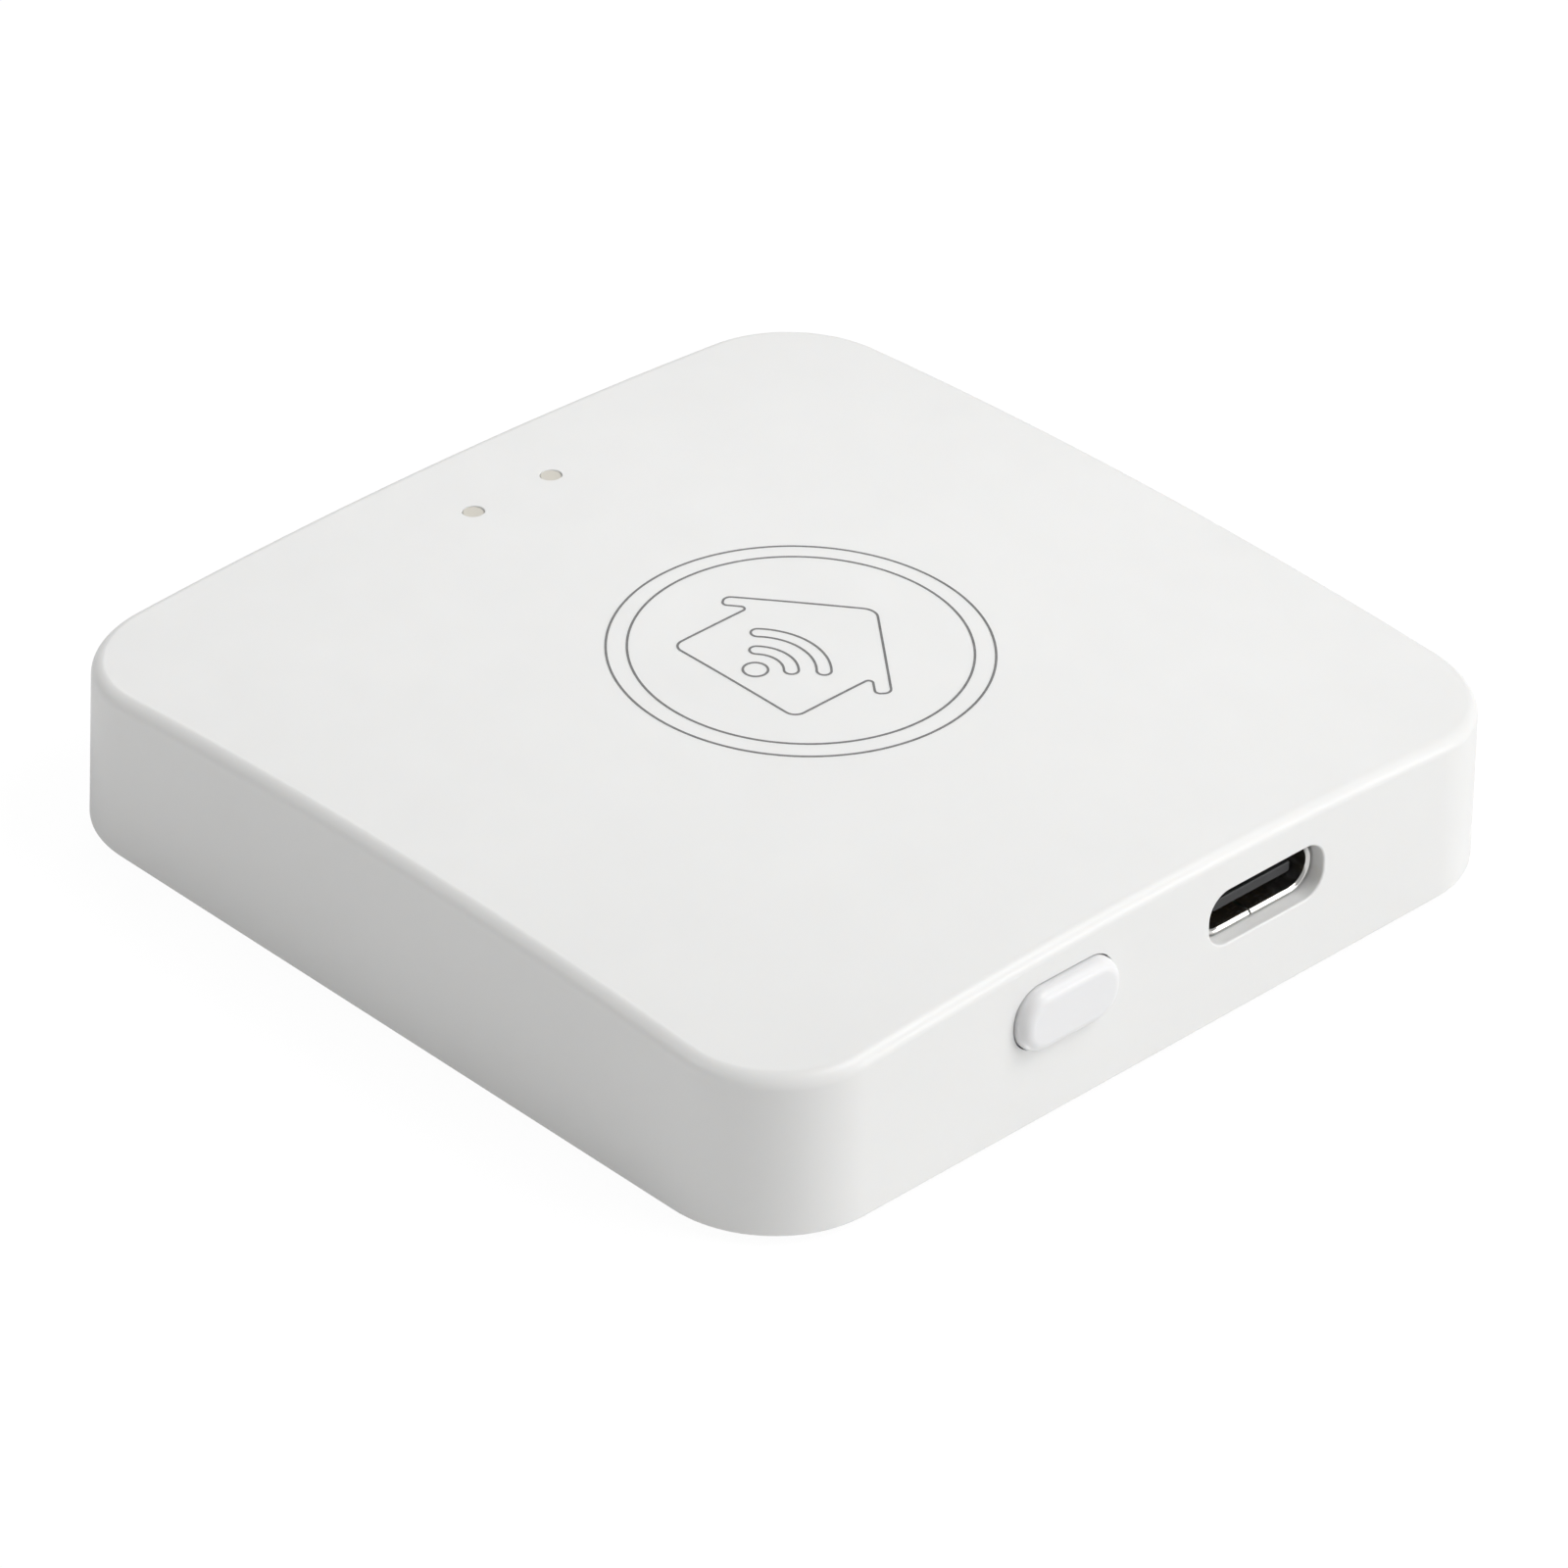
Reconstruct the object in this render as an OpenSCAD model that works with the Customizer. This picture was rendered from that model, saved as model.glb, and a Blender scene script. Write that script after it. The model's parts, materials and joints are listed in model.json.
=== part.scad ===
// Smart home hub: a white square case with a crowned top, a USB-C socket and a side button.
// The case stands on rubber feet, with z = 0 at the surface that it stands on.
// The socket and the button are in the +X wall, the status lights are along the -X edge.

/* [Case] */
// Side of the square case at its bottom edge
case_w = 60; // [59.5:0.25:62]
// Corner radius of the case at its bottom edge
case_corner_r = 7.25; // [6:0.25:8.5]
// Draft angle of the walls, in degrees
wall_draft = 1.5; // [0.5:0.1:2]
// Height of the crown's centre above the case's bottom edge
crown_h = 12.44; // [12.3:0.02:13.5]
// Radius of the crowned top
crown_r = 333; // [280:1:600]
// Rounding between the walls and the crown
rim_r = 0.9; // [0.5:0.1:1.2]
// Thickness of the side walls
wall_t = 1.8; // [1.6:0.1:1.9]
// Thickness of the top
top_t = 1.5; // [1.3:0.1:1.6]

/* [Base] */
// Thickness of the base cover
base_t = 1.5; // [1.3:0.1:1.8]
// Thickness of the lip of the shell round the base cover
lip_t = 0.9; // [0.7:0.1:1]
// Gap between the base cover and the lip
base_gap = 0.1; // [0.05:0.05:0.2]
// Diameter of each rubber foot
foot_d = 8; // [7:0.5:9]
// Height of the case above the surface that it stands on
foot_stand = 0.6; // [0.4:0.1:1]
// Depth of the recess that each foot is stuck in
foot_recess = 0.4; // [0.3:0.1:0.5]
// Distance of each screw from the centre, along X and along Y
screw_xy = 21; // [20.5:0.25:21.5]
// Length of the rating label
label_w = 26; // [20:1:28]
// Height of the rating label
label_h = 18; // [12:1:20]

/* [Circuit board] */
// Side of the square circuit board
board_w = 54.4; // [54:0.2:54.6]
// Thickness of the circuit board
board_t = 1; // [0.8:0.1:1.2]
// Height of the board's top face above the case's bottom edge
board_top = 5; // [4.9:0.05:5.1]

/* [USB-C socket] */
// Centre of the socket along Y
usb_y = 8.3; // [7.5:0.1:9]
// Width of the opening in the wall
usb_open_w = 9.2; // [9.15:0.05:9.6]
// Height of the opening in the wall
usb_open_h = 3.5; // [3.4:0.05:3.8]
// Corner radius of the opening in the wall
usb_open_r = 1.5; // [1.2:0.1:1.7]
// Depth of the steel shell's mouth behind the wall's face
usb_recess = 0.85; // [0.6:0.05:1]
// Length of the steel shell
usb_l = 7.35; // [6.8:0.05:7.6]

/* [Button] */
// Centre of the button along Y
button_y = -7.75; // [-9:0.05:-7.5]
// Width of the button
button_w = 7.6; // [7:0.1:8.2]
// Height of the button
button_h = 3.9; // [3.6:0.1:4]
// Corner radius of the button
button_corner_r = 1.8; // [1.4:0.1:1.8]
// Height that the button stands proud of the wall
button_proud = 0.85; // [0.6:0.05:1.2]
// Rounding round the button's face
button_edge_r = 0.7; // [0.3:0.1:0.8]
// Gap between the button and the wall
button_gap = 0.08; // [0.06:0.01:0.15]
// Travel of the button
button_travel = 0.25; // [0.15:0.05:0.3]

/* [Status lights] */
// Distance of the pinholes from the centre, towards -X
light_x = 23.2; // [22.5:0.1:23.5]
// Centre of the pair of pinholes along Y
light_y = 0.4; // [-1:0.1:1]
// Distance between the two pinholes
light_pitch = 6.1; // [5:0.1:7]
// Diameter of each pinhole
light_d = 1.3; // [1.2:0.1:1.8]

/* [Hidden] */
$fn = 48;

corner_steps = 10;
side_steps = 6;
rim_steps = 5;
crown_scales = [0.85, 0.65, 0.42, 0.2];

// How far a cut runs past the face that it opens, and how far solids of one node reach into each other
past = 1;
bite = 0.1;
// Straight stretch left between two round corners that would otherwise meet
flat = 0.01;

case_z = foot_stand;
board_z = case_z + board_top;
board_under_z = board_z - board_t;
cavity_w = case_w - 2 * wall_t;

screw_head_d = 4.2;
screw_head_h = 1.4;
screw_shank_d = 2.6;
screw_shank_l = 6;
screw_head_cover = 0.3;
screw_seat_z = case_z + foot_recess + screw_head_h + screw_head_cover;
screw_play = 0.03;
screw_bore_depth = 4;
clearance_d = screw_shank_d + 0.4;
boss_d = 5.6;
boss_top_z = case_z + 10.1;
post_d = 6.6;

usb_w = 8.94;
usb_h = 3.16;
usb_t = 0.3;
usb_lift = 0.04;
usb_z = board_z + usb_lift + usb_h / 2;
usb_face_x = wall_face_x(usb_z) - usb_recess;
usb_back_x = usb_face_x - usb_l;
usb_block_l = 2.4;
tongue_w = 6.69;
tongue_t = 0.7;
tongue_recess = 0.35;
contact_pitch = 0.5;
contact_count = 12;
contact_l = 3.6;
contact_w = 0.25;
contact_t = 0.05;
usb_leg_l = 0.9;
usb_leg_w = 0.3;
usb_leg_x = [1.2, 5];
usb_leg_tail = 0.3;
usb_slot_play = 0.15;

button_z = case_z + 6.94;
button_face_x = wall_face_x(button_z) + button_proud;
flange_x = wall_face_x(case_z + crown_h) - wall_t;
flange_t = 0.8;
flange_w = 10;
flange_h = 5.2;
pusher_w = 2.4;
pusher_h = 1.2;
pusher_l = 0.45;
pusher_x = flange_x - flange_t - pusher_l;
notch_play = 0.6;
notch_x = flange_x - flange_t - button_travel - notch_play;

switch_reach = 1.1;
switch_front_x = pusher_x - switch_reach;
switch_l = 3.4;
switch_w = 6.2;
switch_h = 3.4;
switch_cover_t = 0.2;
switch_contact_gap = 0.05;
plunger_w = 2.8;
plunger_h = 1.4;
plunger_r = 0.4;
dome_d = 2.6;
dome_rise = button_travel + 0.2;
dome_t = 0.08;
dome_x = switch_front_x - 2.2;

light_ys = [light_y - light_pitch / 2, light_y + light_pitch / 2];
light_top_z = case_z + crown_z([light_x, light_y], 0);
guide_bar_t = 1;
guide_bar_drop = 0.25;
guide_bar_z = light_top_z - top_t - guide_bar_drop - guide_bar_t;
guide_bar_w = 3.4;
guide_tip_drop = 0.1;
guide_play = 0.04;

wifi_pos = [-4, 14.5];
wifi_size = [18, 23];
mesh_pos = [-4, -16.5];
mesh_size = [16, 20];
module_t = 0.8;
shield_h = 2.2;
shield_t = 0.2;
trace_t = 0.06;
trace_w = 0.6;

buck_pos = [14, 3];
flash_pos = [12.5, -14];
inductor_pos = [14, 9.5];
fuse_pos = [18.6, 8.1];
diode_pos = [18.6, 1.4];
crystal_pos = [12, -7.5];
capacitor_l = 1.6;
capacitor_w = 0.8;
resistor_l = 1;
resistor_w = 0.5;
resistor_t = 0.35;

// Height of the crown at a point, less a drop
function crown_z(p, drop) = crown_h - drop - crown_r + sqrt(crown_r * crown_r - p.x * p.x - p.y * p.y);

// Distance that a wall leans in from the bottom edge to a height
function lean(z) = tan(wall_draft) * (z - case_z);

// X of the +X wall's outer face at a height
function wall_face_x(z) = case_w / 2 - lean(z);

// Rounded rectangle as pairs of a point and its outward normal, the same number for every size
function corner_pairs(q, half, r) =
    let (sx = q == 0 || q == 3 ? 1 : -1, sy = q < 2 ? 1 : -1, centre = [sx * (half.x - r), sy * (half.y - r)])
        [for (i = [0:corner_steps])
            let (turn = 90 * (q + i / corner_steps), normal = [cos(turn), sin(turn)])
                [centre + r * normal, normal]];
function side_pairs(from, to) = [
    for (i = [1:side_steps - 1]) [from[0] + (to[0] - from[0]) * i / side_steps, from[1]]
];
function rounded_pairs(half, r) = [
    for (q = [0:3])
        let (here = corner_pairs(q, half, r), next = corner_pairs((q + 1) % 4, half, r))
            each concat(here, side_pairs(here[corner_steps], next[0]))
];

// Rings of the case's outside, from the bottom edge up
case_pairs = rounded_pairs([case_w / 2, case_w / 2], case_corner_r);
rim_below = 1.5;
function inset_point(pair, inset) = pair[0] - pair[1] * inset;
function rim_z(pair) =
    let (p = inset_point(pair, lean(case_z + crown_h - rim_below) + rim_r))
        case_z + crown_z(p, 0) - rim_r;
function rim_ring(turn) = [
    for (pair = case_pairs)
        let (z = rim_z(pair), p = inset_point(pair, lean(z) + rim_r * (1 - cos(turn))))
            [p.x, p.y, z + rim_r * sin(turn)]
];
function crown_ring(scale) = [
    for (pair = case_pairs)
        let (p = inset_point(pair, lean(rim_z(pair)) + rim_r) * scale)
            [p.x, p.y, case_z + crown_z(p, 0)]
];

// Closed solid through a stack of rings, with a point under the first one and a point over the last one
module ring_solid(rings, under, over) {
    n = len(rings[0]);
    m = len(rings);
    sides = [
        for (j = [0:m - 2], i = [0:n - 1])
            let (a = j * n + i, b = j * n + (i + 1) % n)
                each [[a, a + n, b], [b, a + n, b + n]]
    ];
    floor = [for (i = [0:n - 1]) [(i + 1) % n, m * n, i]];
    cap = [for (i = [0:n - 1]) [(m - 1) * n + i, m * n + 1, (m - 1) * n + (i + 1) % n]];
    points = concat([for (ring = rings) each ring], [under, over]);
    polyhedron(points = points, faces = concat(floor, sides, cap));
}

module case_solid() {
    bottom = [for (pair = case_pairs) [pair[0].x, pair[0].y, case_z]];
    rims = [for (i = [0:rim_steps]) rim_ring(90 * i / rim_steps)];
    crowns = [for (s = crown_scales) crown_ring(s)];
    ring_solid(concat([bottom], rims, crowns), [0, 0, case_z], [0, 0, case_z + crown_h]);
}

// Inside of the walls, closed above by a cap of the sphere that runs parallel to the crown
module cavity_solid() {
    under_r = crown_r - top_t;
    reach = case_w / sqrt(2);
    depth = crown_h + 3 * past;
    intersection() {
        translate([0, 0, case_z - past])
            rounded_plate([cavity_w, cavity_w], case_corner_r - wall_t, crown_h + past);
        translate([0, 0, case_z + crown_h - top_t]) rotate_extrude($fn = 96) intersection() {
            translate([0, -under_r]) circle(under_r, $fn = 2048);
            translate([0, -depth]) square([reach, depth]);
        }
    }
}

// Square plate with true round corners, standing on z = 0
module rounded_plate(size, r, t) {
    linear_extrude(t) {
        square([size.x - 2 * r, size.y], center = true);
        square([size.x, size.y - 2 * r], center = true);
        for (sx = [-1, 1], sy = [-1, 1])
            translate([sx * (size.x / 2 - r), sy * (size.y / 2 - r)]) circle(r);
    }
}

// Rounded bar along X from x = 0, with its width along Y and its height along Z
module bar_x(w, h, r, l) {
    rotate([90, 0, 90]) rounded_plate([w, h], r, l);
}

module box(size, pos) {
    translate([pos.x - size.x / 2, pos.y - size.y / 2, pos.z]) cube(size);
}

module at_screws() {
    for (sx = [-1, 1], sy = [-1, 1]) translate([sx * screw_xy, sy * screw_xy, 0]) children();
}

module at_lights() {
    for (y = light_ys) translate([-light_x, y, 0]) children();
}

// Cut through the +X wall, from inside the cavity to past the outer face
module wall_cut(y, z, w, h, r) {
    translate([cavity_w / 2 - past, y, z]) bar_x(w, h, r, wall_t + 2 * past);
}

// White moulding: walls, crowned top, screw bosses and the button's guide ribs
module top_shell() {
    rib_t = 1;
    rib_l = 1.6;
    rib_h = 4.5;
    rib_play = 0.2;
    rib_lift = 0.5;
    rib_y = flange_w / 2 + rib_play + rib_t / 2;
    lip_w = case_w - 2 * lip_t;
    color("whitesmoke") difference() {
        union() {
            difference() {
                case_solid();
                cavity_solid();
                translate([0, 0, case_z - past])
                    rounded_plate([lip_w, lip_w], case_corner_r - lip_t, base_t + flat + past);
            }
            at_screws() translate([0, 0, board_z]) cylinder(d = boss_d, h = boss_top_z - board_z);
            for (s = [-1, 1])
                box([rib_l, rib_t, rib_h],
                    [cavity_w / 2 + bite - rib_l / 2, button_y + s * rib_y, board_z + rib_lift]);
        }
        at_screws() translate([0, 0, board_z - past])
            cylinder(d = screw_shank_d + 2 * screw_play, h = screw_bore_depth + past);
        at_lights() translate([0, 0, board_z]) cylinder(d = light_d, h = crown_h);
        wall_cut(usb_y, usb_z, usb_open_w, usb_open_h, usb_open_r);
        wall_cut(button_y, button_z, button_w + 2 * button_gap, button_h + 2 * button_gap,
            button_corner_r + button_gap);
    }
}

// White cover inside the shell's lip, with the posts that carry the board
module base_cover() {
    w = case_w - 2 * (lip_t + base_gap);
    play = 0.15;
    label_depth = 0.15;
    color("gainsboro") difference() {
        union() {
            translate([0, 0, case_z]) rounded_plate([w, w], case_corner_r - lip_t - base_gap, base_t);
            at_screws() translate([0, 0, case_z]) cylinder(d = post_d, h = board_under_z - case_z);
        }
        at_screws() {
            translate([0, 0, case_z - past]) cylinder(d = foot_d + 2 * play, h = past + foot_recess);
            translate([0, 0, case_z]) cylinder(d = screw_head_d + 2 * play, h = screw_seat_z - case_z);
            translate([0, 0, case_z]) cylinder(d = clearance_d, h = board_z - case_z);
        }
        box([label_w + 0.4, label_h + 0.4, label_depth + past], [0, 0, case_z - past]);
    }
}

module case_screw() {
    recess_w = 0.55;
    recess_l = 2.4;
    recess_t = 0.8;
    difference() {
        union() {
            translate([0, 0, -screw_head_h]) cylinder(d = screw_head_d, h = screw_head_h);
            cylinder(d = screw_shank_d, h = screw_shank_l);
        }
        translate([0, 0, -screw_head_h - past]) {
            box([recess_l, recess_w, recess_t + past], [0, 0, 0]);
            box([recess_w, recess_l, recess_t + past], [0, 0, 0]);
        }
    }
}

module case_screws() {
    color("silver") at_screws() translate([0, 0, screw_seat_z]) case_screw();
}

module rubber_feet() {
    edge = 0.2;
    color("dimgray") at_screws() {
        translate([0, 0, edge]) cylinder(d = foot_d, h = foot_stand + foot_recess - edge);
        cylinder(d1 = foot_d - 2 * edge, d2 = foot_d, h = edge);
    }
}

module rating_label() {
    corner_r = 1;
    sheet_t = 0.1;
    sink = 0.05;
    color("white") translate([0, 0, case_z + sink]) rounded_plate([label_w, label_h], corner_r, sheet_t);
}

// Board that the screws clamp between the posts and the bosses
module main_board() {
    corner_r = 4;
    notch_w = flange_w + 1.4;
    cut_t = board_t + 2 * past;
    cut_z = board_under_z - past;
    color("darkgreen") difference() {
        translate([0, 0, board_under_z]) rounded_plate([board_w, board_w], corner_r, board_t);
        at_screws() translate([0, 0, cut_z]) cylinder(d = clearance_d, h = cut_t);
        box([case_w / 2 - notch_x, notch_w, cut_t], [(case_w / 2 + notch_x) / 2, button_y, cut_z]);
        at_usb_legs()
            box([usb_leg_l + 2 * usb_slot_play, usb_leg_w + 2 * usb_slot_play, cut_t], [0, 0, cut_z]);
    }
}

module at_usb_legs() {
    for (x = usb_leg_x, s = [-1, 1])
        translate([usb_back_x + x, usb_y + s * (usb_w - usb_leg_w) / 2, 0]) children();
}

module usb_shell() {
    outer_r = usb_h / 2 - flat;
    color("silver") {
        translate([usb_back_x, usb_y, usb_z]) difference() {
            bar_x(usb_w, usb_h, outer_r, usb_l);
            translate([-past, 0, 0])
                bar_x(usb_w - 2 * usb_t, usb_h - 2 * usb_t, outer_r - usb_t, usb_l + 2 * past);
        }
        at_usb_legs()
            box([usb_leg_l, usb_leg_w, usb_z - board_under_z + usb_leg_tail],
                [0, 0, board_under_z - usb_leg_tail]);
    }
}

module usb_tongue() {
    play = 0.01;
    w = usb_w - 2 * (usb_t + play);
    h = usb_h - 2 * (usb_t + play);
    tongue_l = usb_l - usb_block_l - tongue_recess;
    color("black") translate([usb_back_x, usb_y, usb_z]) {
        bar_x(w, h, h / 2 - flat, usb_block_l);
        box([tongue_l, tongue_w, tongue_t], [usb_block_l + tongue_l / 2, 0, -tongue_t / 2]);
    }
}

module usb_contacts() {
    first_y = usb_y - contact_pitch * (contact_count - 1) / 2;
    root_gap = 0.3;
    x = usb_back_x + usb_block_l + root_gap + contact_l / 2;
    color("gold") for (i = [0:contact_count - 1], s = [-1, 1])
        box([contact_l, contact_w, contact_t],
            [x, first_y + i * contact_pitch, usb_z + s * (tongue_t + contact_t) / 2 - contact_t / 2]);
}

// Radio module: its own small board, a shield can over the chips and a printed antenna past the can
module module_board(pos, size) {
    box([size.x, size.y, module_t], [pos.x, pos.y, board_z]);
}

module shield_can(pos, size) {
    difference() {
        box([size.x, size.y, shield_h], [pos.x, pos.y, board_z + module_t]);
        box([size.x - 2 * shield_t, size.y - 2 * shield_t, shield_h - shield_t + flat],
            [pos.x, pos.y, board_z + module_t - flat]);
    }
}

// Folded trace that starts at a point and steps along +X
module meander(start, turns, pitch, depth) {
    z = board_z + module_t;
    for (i = [0:turns])
        box([trace_w, depth, trace_t], [start.x + i * pitch, start.y, z]);
    for (i = [0:turns - 1])
        box([pitch + trace_w, trace_w, trace_t],
            [start.x + (i + 0.5) * pitch, start.y + (i % 2 == 0 ? 1 : -1) * (depth - trace_w) / 2, z]);
}

module wifi_board() {
    color("midnightblue") module_board(wifi_pos, wifi_size);
}

module wifi_shield() {
    color("lightgray") shield_can([wifi_pos.x, wifi_pos.y - 2.8], [15.6, 15.6]);
}

module wifi_antenna() {
    color("gold") meander([wifi_pos.x - 7.2, wifi_pos.y + 8.4], 8, 1.8, 4);
}

module mesh_board() {
    color("midnightblue") module_board(mesh_pos, mesh_size);
}

module mesh_shield() {
    color("lightgray") shield_can([mesh_pos.x, mesh_pos.y + 2.5], [13.6, 13]);
}

module mesh_antenna() {
    color("gold") meander([mesh_pos.x - 6.3, mesh_pos.y - 7], 6, 2.1, 3.6);
}

// Push switch that lies on its side: a housing with a dome and a plunger under a steel cover
module switch_housing() {
    l = switch_l - switch_cover_t;
    pocket_d = dome_d + 0.6;
    color("dimgray") difference() {
        box([l, switch_w, switch_h], [switch_front_x - switch_cover_t - l / 2, button_y, board_z]);
        translate([dome_x, button_y, button_z]) rotate([0, 90, 0]) cylinder(d = pocket_d, h = l);
    }
}

module switch_cover() {
    play = 0.1;
    color("silver") difference() {
        box([switch_cover_t, switch_w, switch_h], [switch_front_x - switch_cover_t / 2, button_y, board_z]);
        translate([switch_front_x - past, button_y, button_z])
            bar_x(plunger_w + 2 * play, plunger_h + 2 * play, plunger_r + play, 2 * past);
    }
}

// Snap dome, a thin cap of a sphere with its rim on the housing
module switch_dome() {
    play = 0.01;
    rim = dome_d / 2;
    ball_r = (rim * rim + dome_rise * dome_rise) / (2 * dome_rise);
    color("lightsteelblue") translate([dome_x + play + dome_rise - ball_r, button_y, button_z])
        rotate([0, 90, 0]) rotate_extrude() intersection() {
            difference() {
                circle(ball_r, $fn = 96);
                circle(ball_r - dome_t, $fn = 96);
            }
            translate([0, ball_r - dome_rise]) square([rim, dome_rise]);
        }
}

module switch_plunger() {
    head_x = dome_x + dome_rise + 0.15;
    collar_d = dome_d + 0.3;
    collar_l = 0.5;
    l = pusher_x - switch_contact_gap - head_x;
    color("white") translate([head_x, button_y, button_z]) {
        bar_x(plunger_w, plunger_h, plunger_r, l);
        rotate([0, 90, 0]) cylinder(d = collar_d, h = collar_l);
    }
}

module switch_terminals() {
    terminal = [1.2, 0.8, 0.2];
    x = switch_front_x - 2.4;
    color("silver") for (s = [-1, 1])
        box(terminal, [x, button_y + s * (switch_w + terminal.y) / 2, board_z]);
}

// Moulded cap: a face with rounded edges, a flange behind the wall and a rib that meets the plunger
module side_button() {
    steps = 4;
    flange_r = 0.8;
    rib_r = 0.3;
    depth = button_face_x - flange_x;
    rounds = [
        for (i = [0:steps])
            let (turn = 90 * i / steps, inset = button_edge_r * (1 - cos(turn)))
                [inset, depth - button_edge_r * (1 - sin(turn))]
    ];
    rings = [for (s = concat([[0, -bite]], rounds)) [
        for (pair = rounded_pairs([button_w / 2, button_h / 2], button_corner_r))
            let (p = inset_point(pair, s[0])) [p.x, p.y, s[1]]
    ]];
    color("white") {
        translate([flange_x, button_y, button_z]) rotate([90, 0, 90])
            ring_solid(rings, [0, 0, -bite], [0, 0, depth]);
        translate([flange_x - flange_t, button_y, button_z]) bar_x(flange_w, flange_h, flange_r, flange_t);
        translate([pusher_x, button_y, button_z]) bar_x(pusher_w, pusher_h, rib_r, pusher_l + bite);
    }
}

module chip_led(y) {
    base = [1.25, 2, 0.35];
    lens = [1.25, 1.4, 0.45];
    box(base, [-light_x, y, board_z]);
    box(lens, [-light_x, y, board_z + base.z]);
}

module power_led() {
    color("tomato") chip_led(light_ys[0]);
}

module network_led() {
    color("deepskyblue") chip_led(light_ys[1]);
}

// Soft block with a chamber for each light, so that neither lights the other's pinhole
module led_baffle() {
    size = [4.6, light_pitch + 5.5, guide_bar_z - board_z];
    chamber = [2.6, 3.4, size.z + 2 * past];
    color("black") difference() {
        box(size, [-light_x, light_y, board_z]);
        at_lights() box(chamber, [0, 0, board_z - past]);
    }
}

module light_guide() {
    bar = [guide_bar_w, light_pitch + 3.6, guide_bar_t];
    color("ivory") {
        box(bar, [-light_x, light_y, guide_bar_z]);
        at_lights() translate([0, 0, guide_bar_z])
            cylinder(d = light_d - 2 * guide_play, h = light_top_z - guide_tip_drop - guide_bar_z);
    }
}

// Chip package with a row of leads along each long side
module chip_package(pos, size, leads, pitch) {
    lift = 0.1;
    foot = [0.6, 0.4, 0.2];
    knee = [0.2, foot.y, size.z / 2];
    box([size.x, size.y, size.z - lift], [pos.x, pos.y, board_z + lift]);
    for (s = [-1, 1], i = [0:leads - 1]) {
        y = pos.y + (i - (leads - 1) / 2) * pitch;
        box(foot, [pos.x + s * (size.x + foot.x - bite) / 2, y, board_z]);
        box(knee, [pos.x + s * (size.x + bite) / 2, y, board_z]);
    }
}

module buck_converter() {
    color("black") chip_package(buck_pos, [1.6, 2.9, 1.1], 3, 0.95);
}

module flash_memory() {
    color("black") chip_package(flash_pos, [3.9, 4.9, 1.6], 4, 1.27);
}

// Coil core between two square flanges
module power_inductor() {
    w = 4;
    h = 1.9;
    flange = 0.4;
    corner_r = 0.6;
    color("slategray") translate([inductor_pos.x, inductor_pos.y, board_z]) {
        cylinder(d = 0.8 * w, h = h - flange / 2);
        for (z = [0, h - flange]) translate([0, 0, z]) rounded_plate([w, w], corner_r, flange);
    }
}

module on_board(pos, size) {
    box(size, [pos.x, pos.y, board_z]);
}

module input_fuse() {
    color("seagreen") on_board(fuse_pos, [1.6, 3.2, 0.7]);
}

module surge_diode() {
    color("black") on_board(diode_pos, [1.6, 2.6, 1]);
}

module reference_crystal() {
    color("silver") translate([crystal_pos.x, crystal_pos.y, board_z]) rounded_plate([3.2, 2.5], 0.3, 0.8);
}

module ceramic_capacitors() {
    across = [capacitor_l, capacitor_w, capacitor_w];
    along = [capacitor_w, capacitor_l, capacitor_w];
    color("tan") {
        for (i = [0:2]) {
            on_board([13, 13.5 + 2 * i], across);
            on_board([14, -1 - 2 * i], across);
            on_board([-16, 10.5 + 4 * i], along);
        }
        for (i = [0:1]) on_board([8 + 1.5 * i, -10.5], along);
    }
}

module chip_resistors() {
    across = [resistor_l, resistor_w, resistor_t];
    along = [resistor_w, resistor_l, resistor_t];
    color("dimgray") {
        for (i = [0:2]) {
            on_board([-18.6, -2 + 2 * i], across);
            on_board([17 + 1.5 * i, -3], along);
            on_board([9 + 2 * i, -19], along);
        }
        for (i = [0:3]) on_board([-15.5, -18 + 2 * i], across);
    }
}

top_shell();
base_cover();
case_screws();
rubber_feet();
rating_label();
main_board();
usb_shell();
usb_tongue();
usb_contacts();
wifi_board();
wifi_shield();
wifi_antenna();
mesh_board();
mesh_shield();
mesh_antenna();
switch_housing();
switch_cover();
switch_dome();
switch_plunger();
switch_terminals();
side_button();
power_led();
network_led();
led_baffle();
light_guide();
buck_converter();
power_inductor();
input_fuse();
surge_diode();
flash_memory();
reference_crystal();
ceramic_capacitors();
chip_resistors();
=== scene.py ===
"""Looks of the smart home hub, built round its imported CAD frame.

Lengths are in millimetres until a mesh is made, when they become metres.
+Z is up, the socket and the button are in the +X wall, the light pinholes are along the -X edge.
"""

import json
import math
from itertools import product

import bpy
from mathutils import Matrix, Vector
from mathutils.geometry import delaunay_2d_cdt


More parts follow.
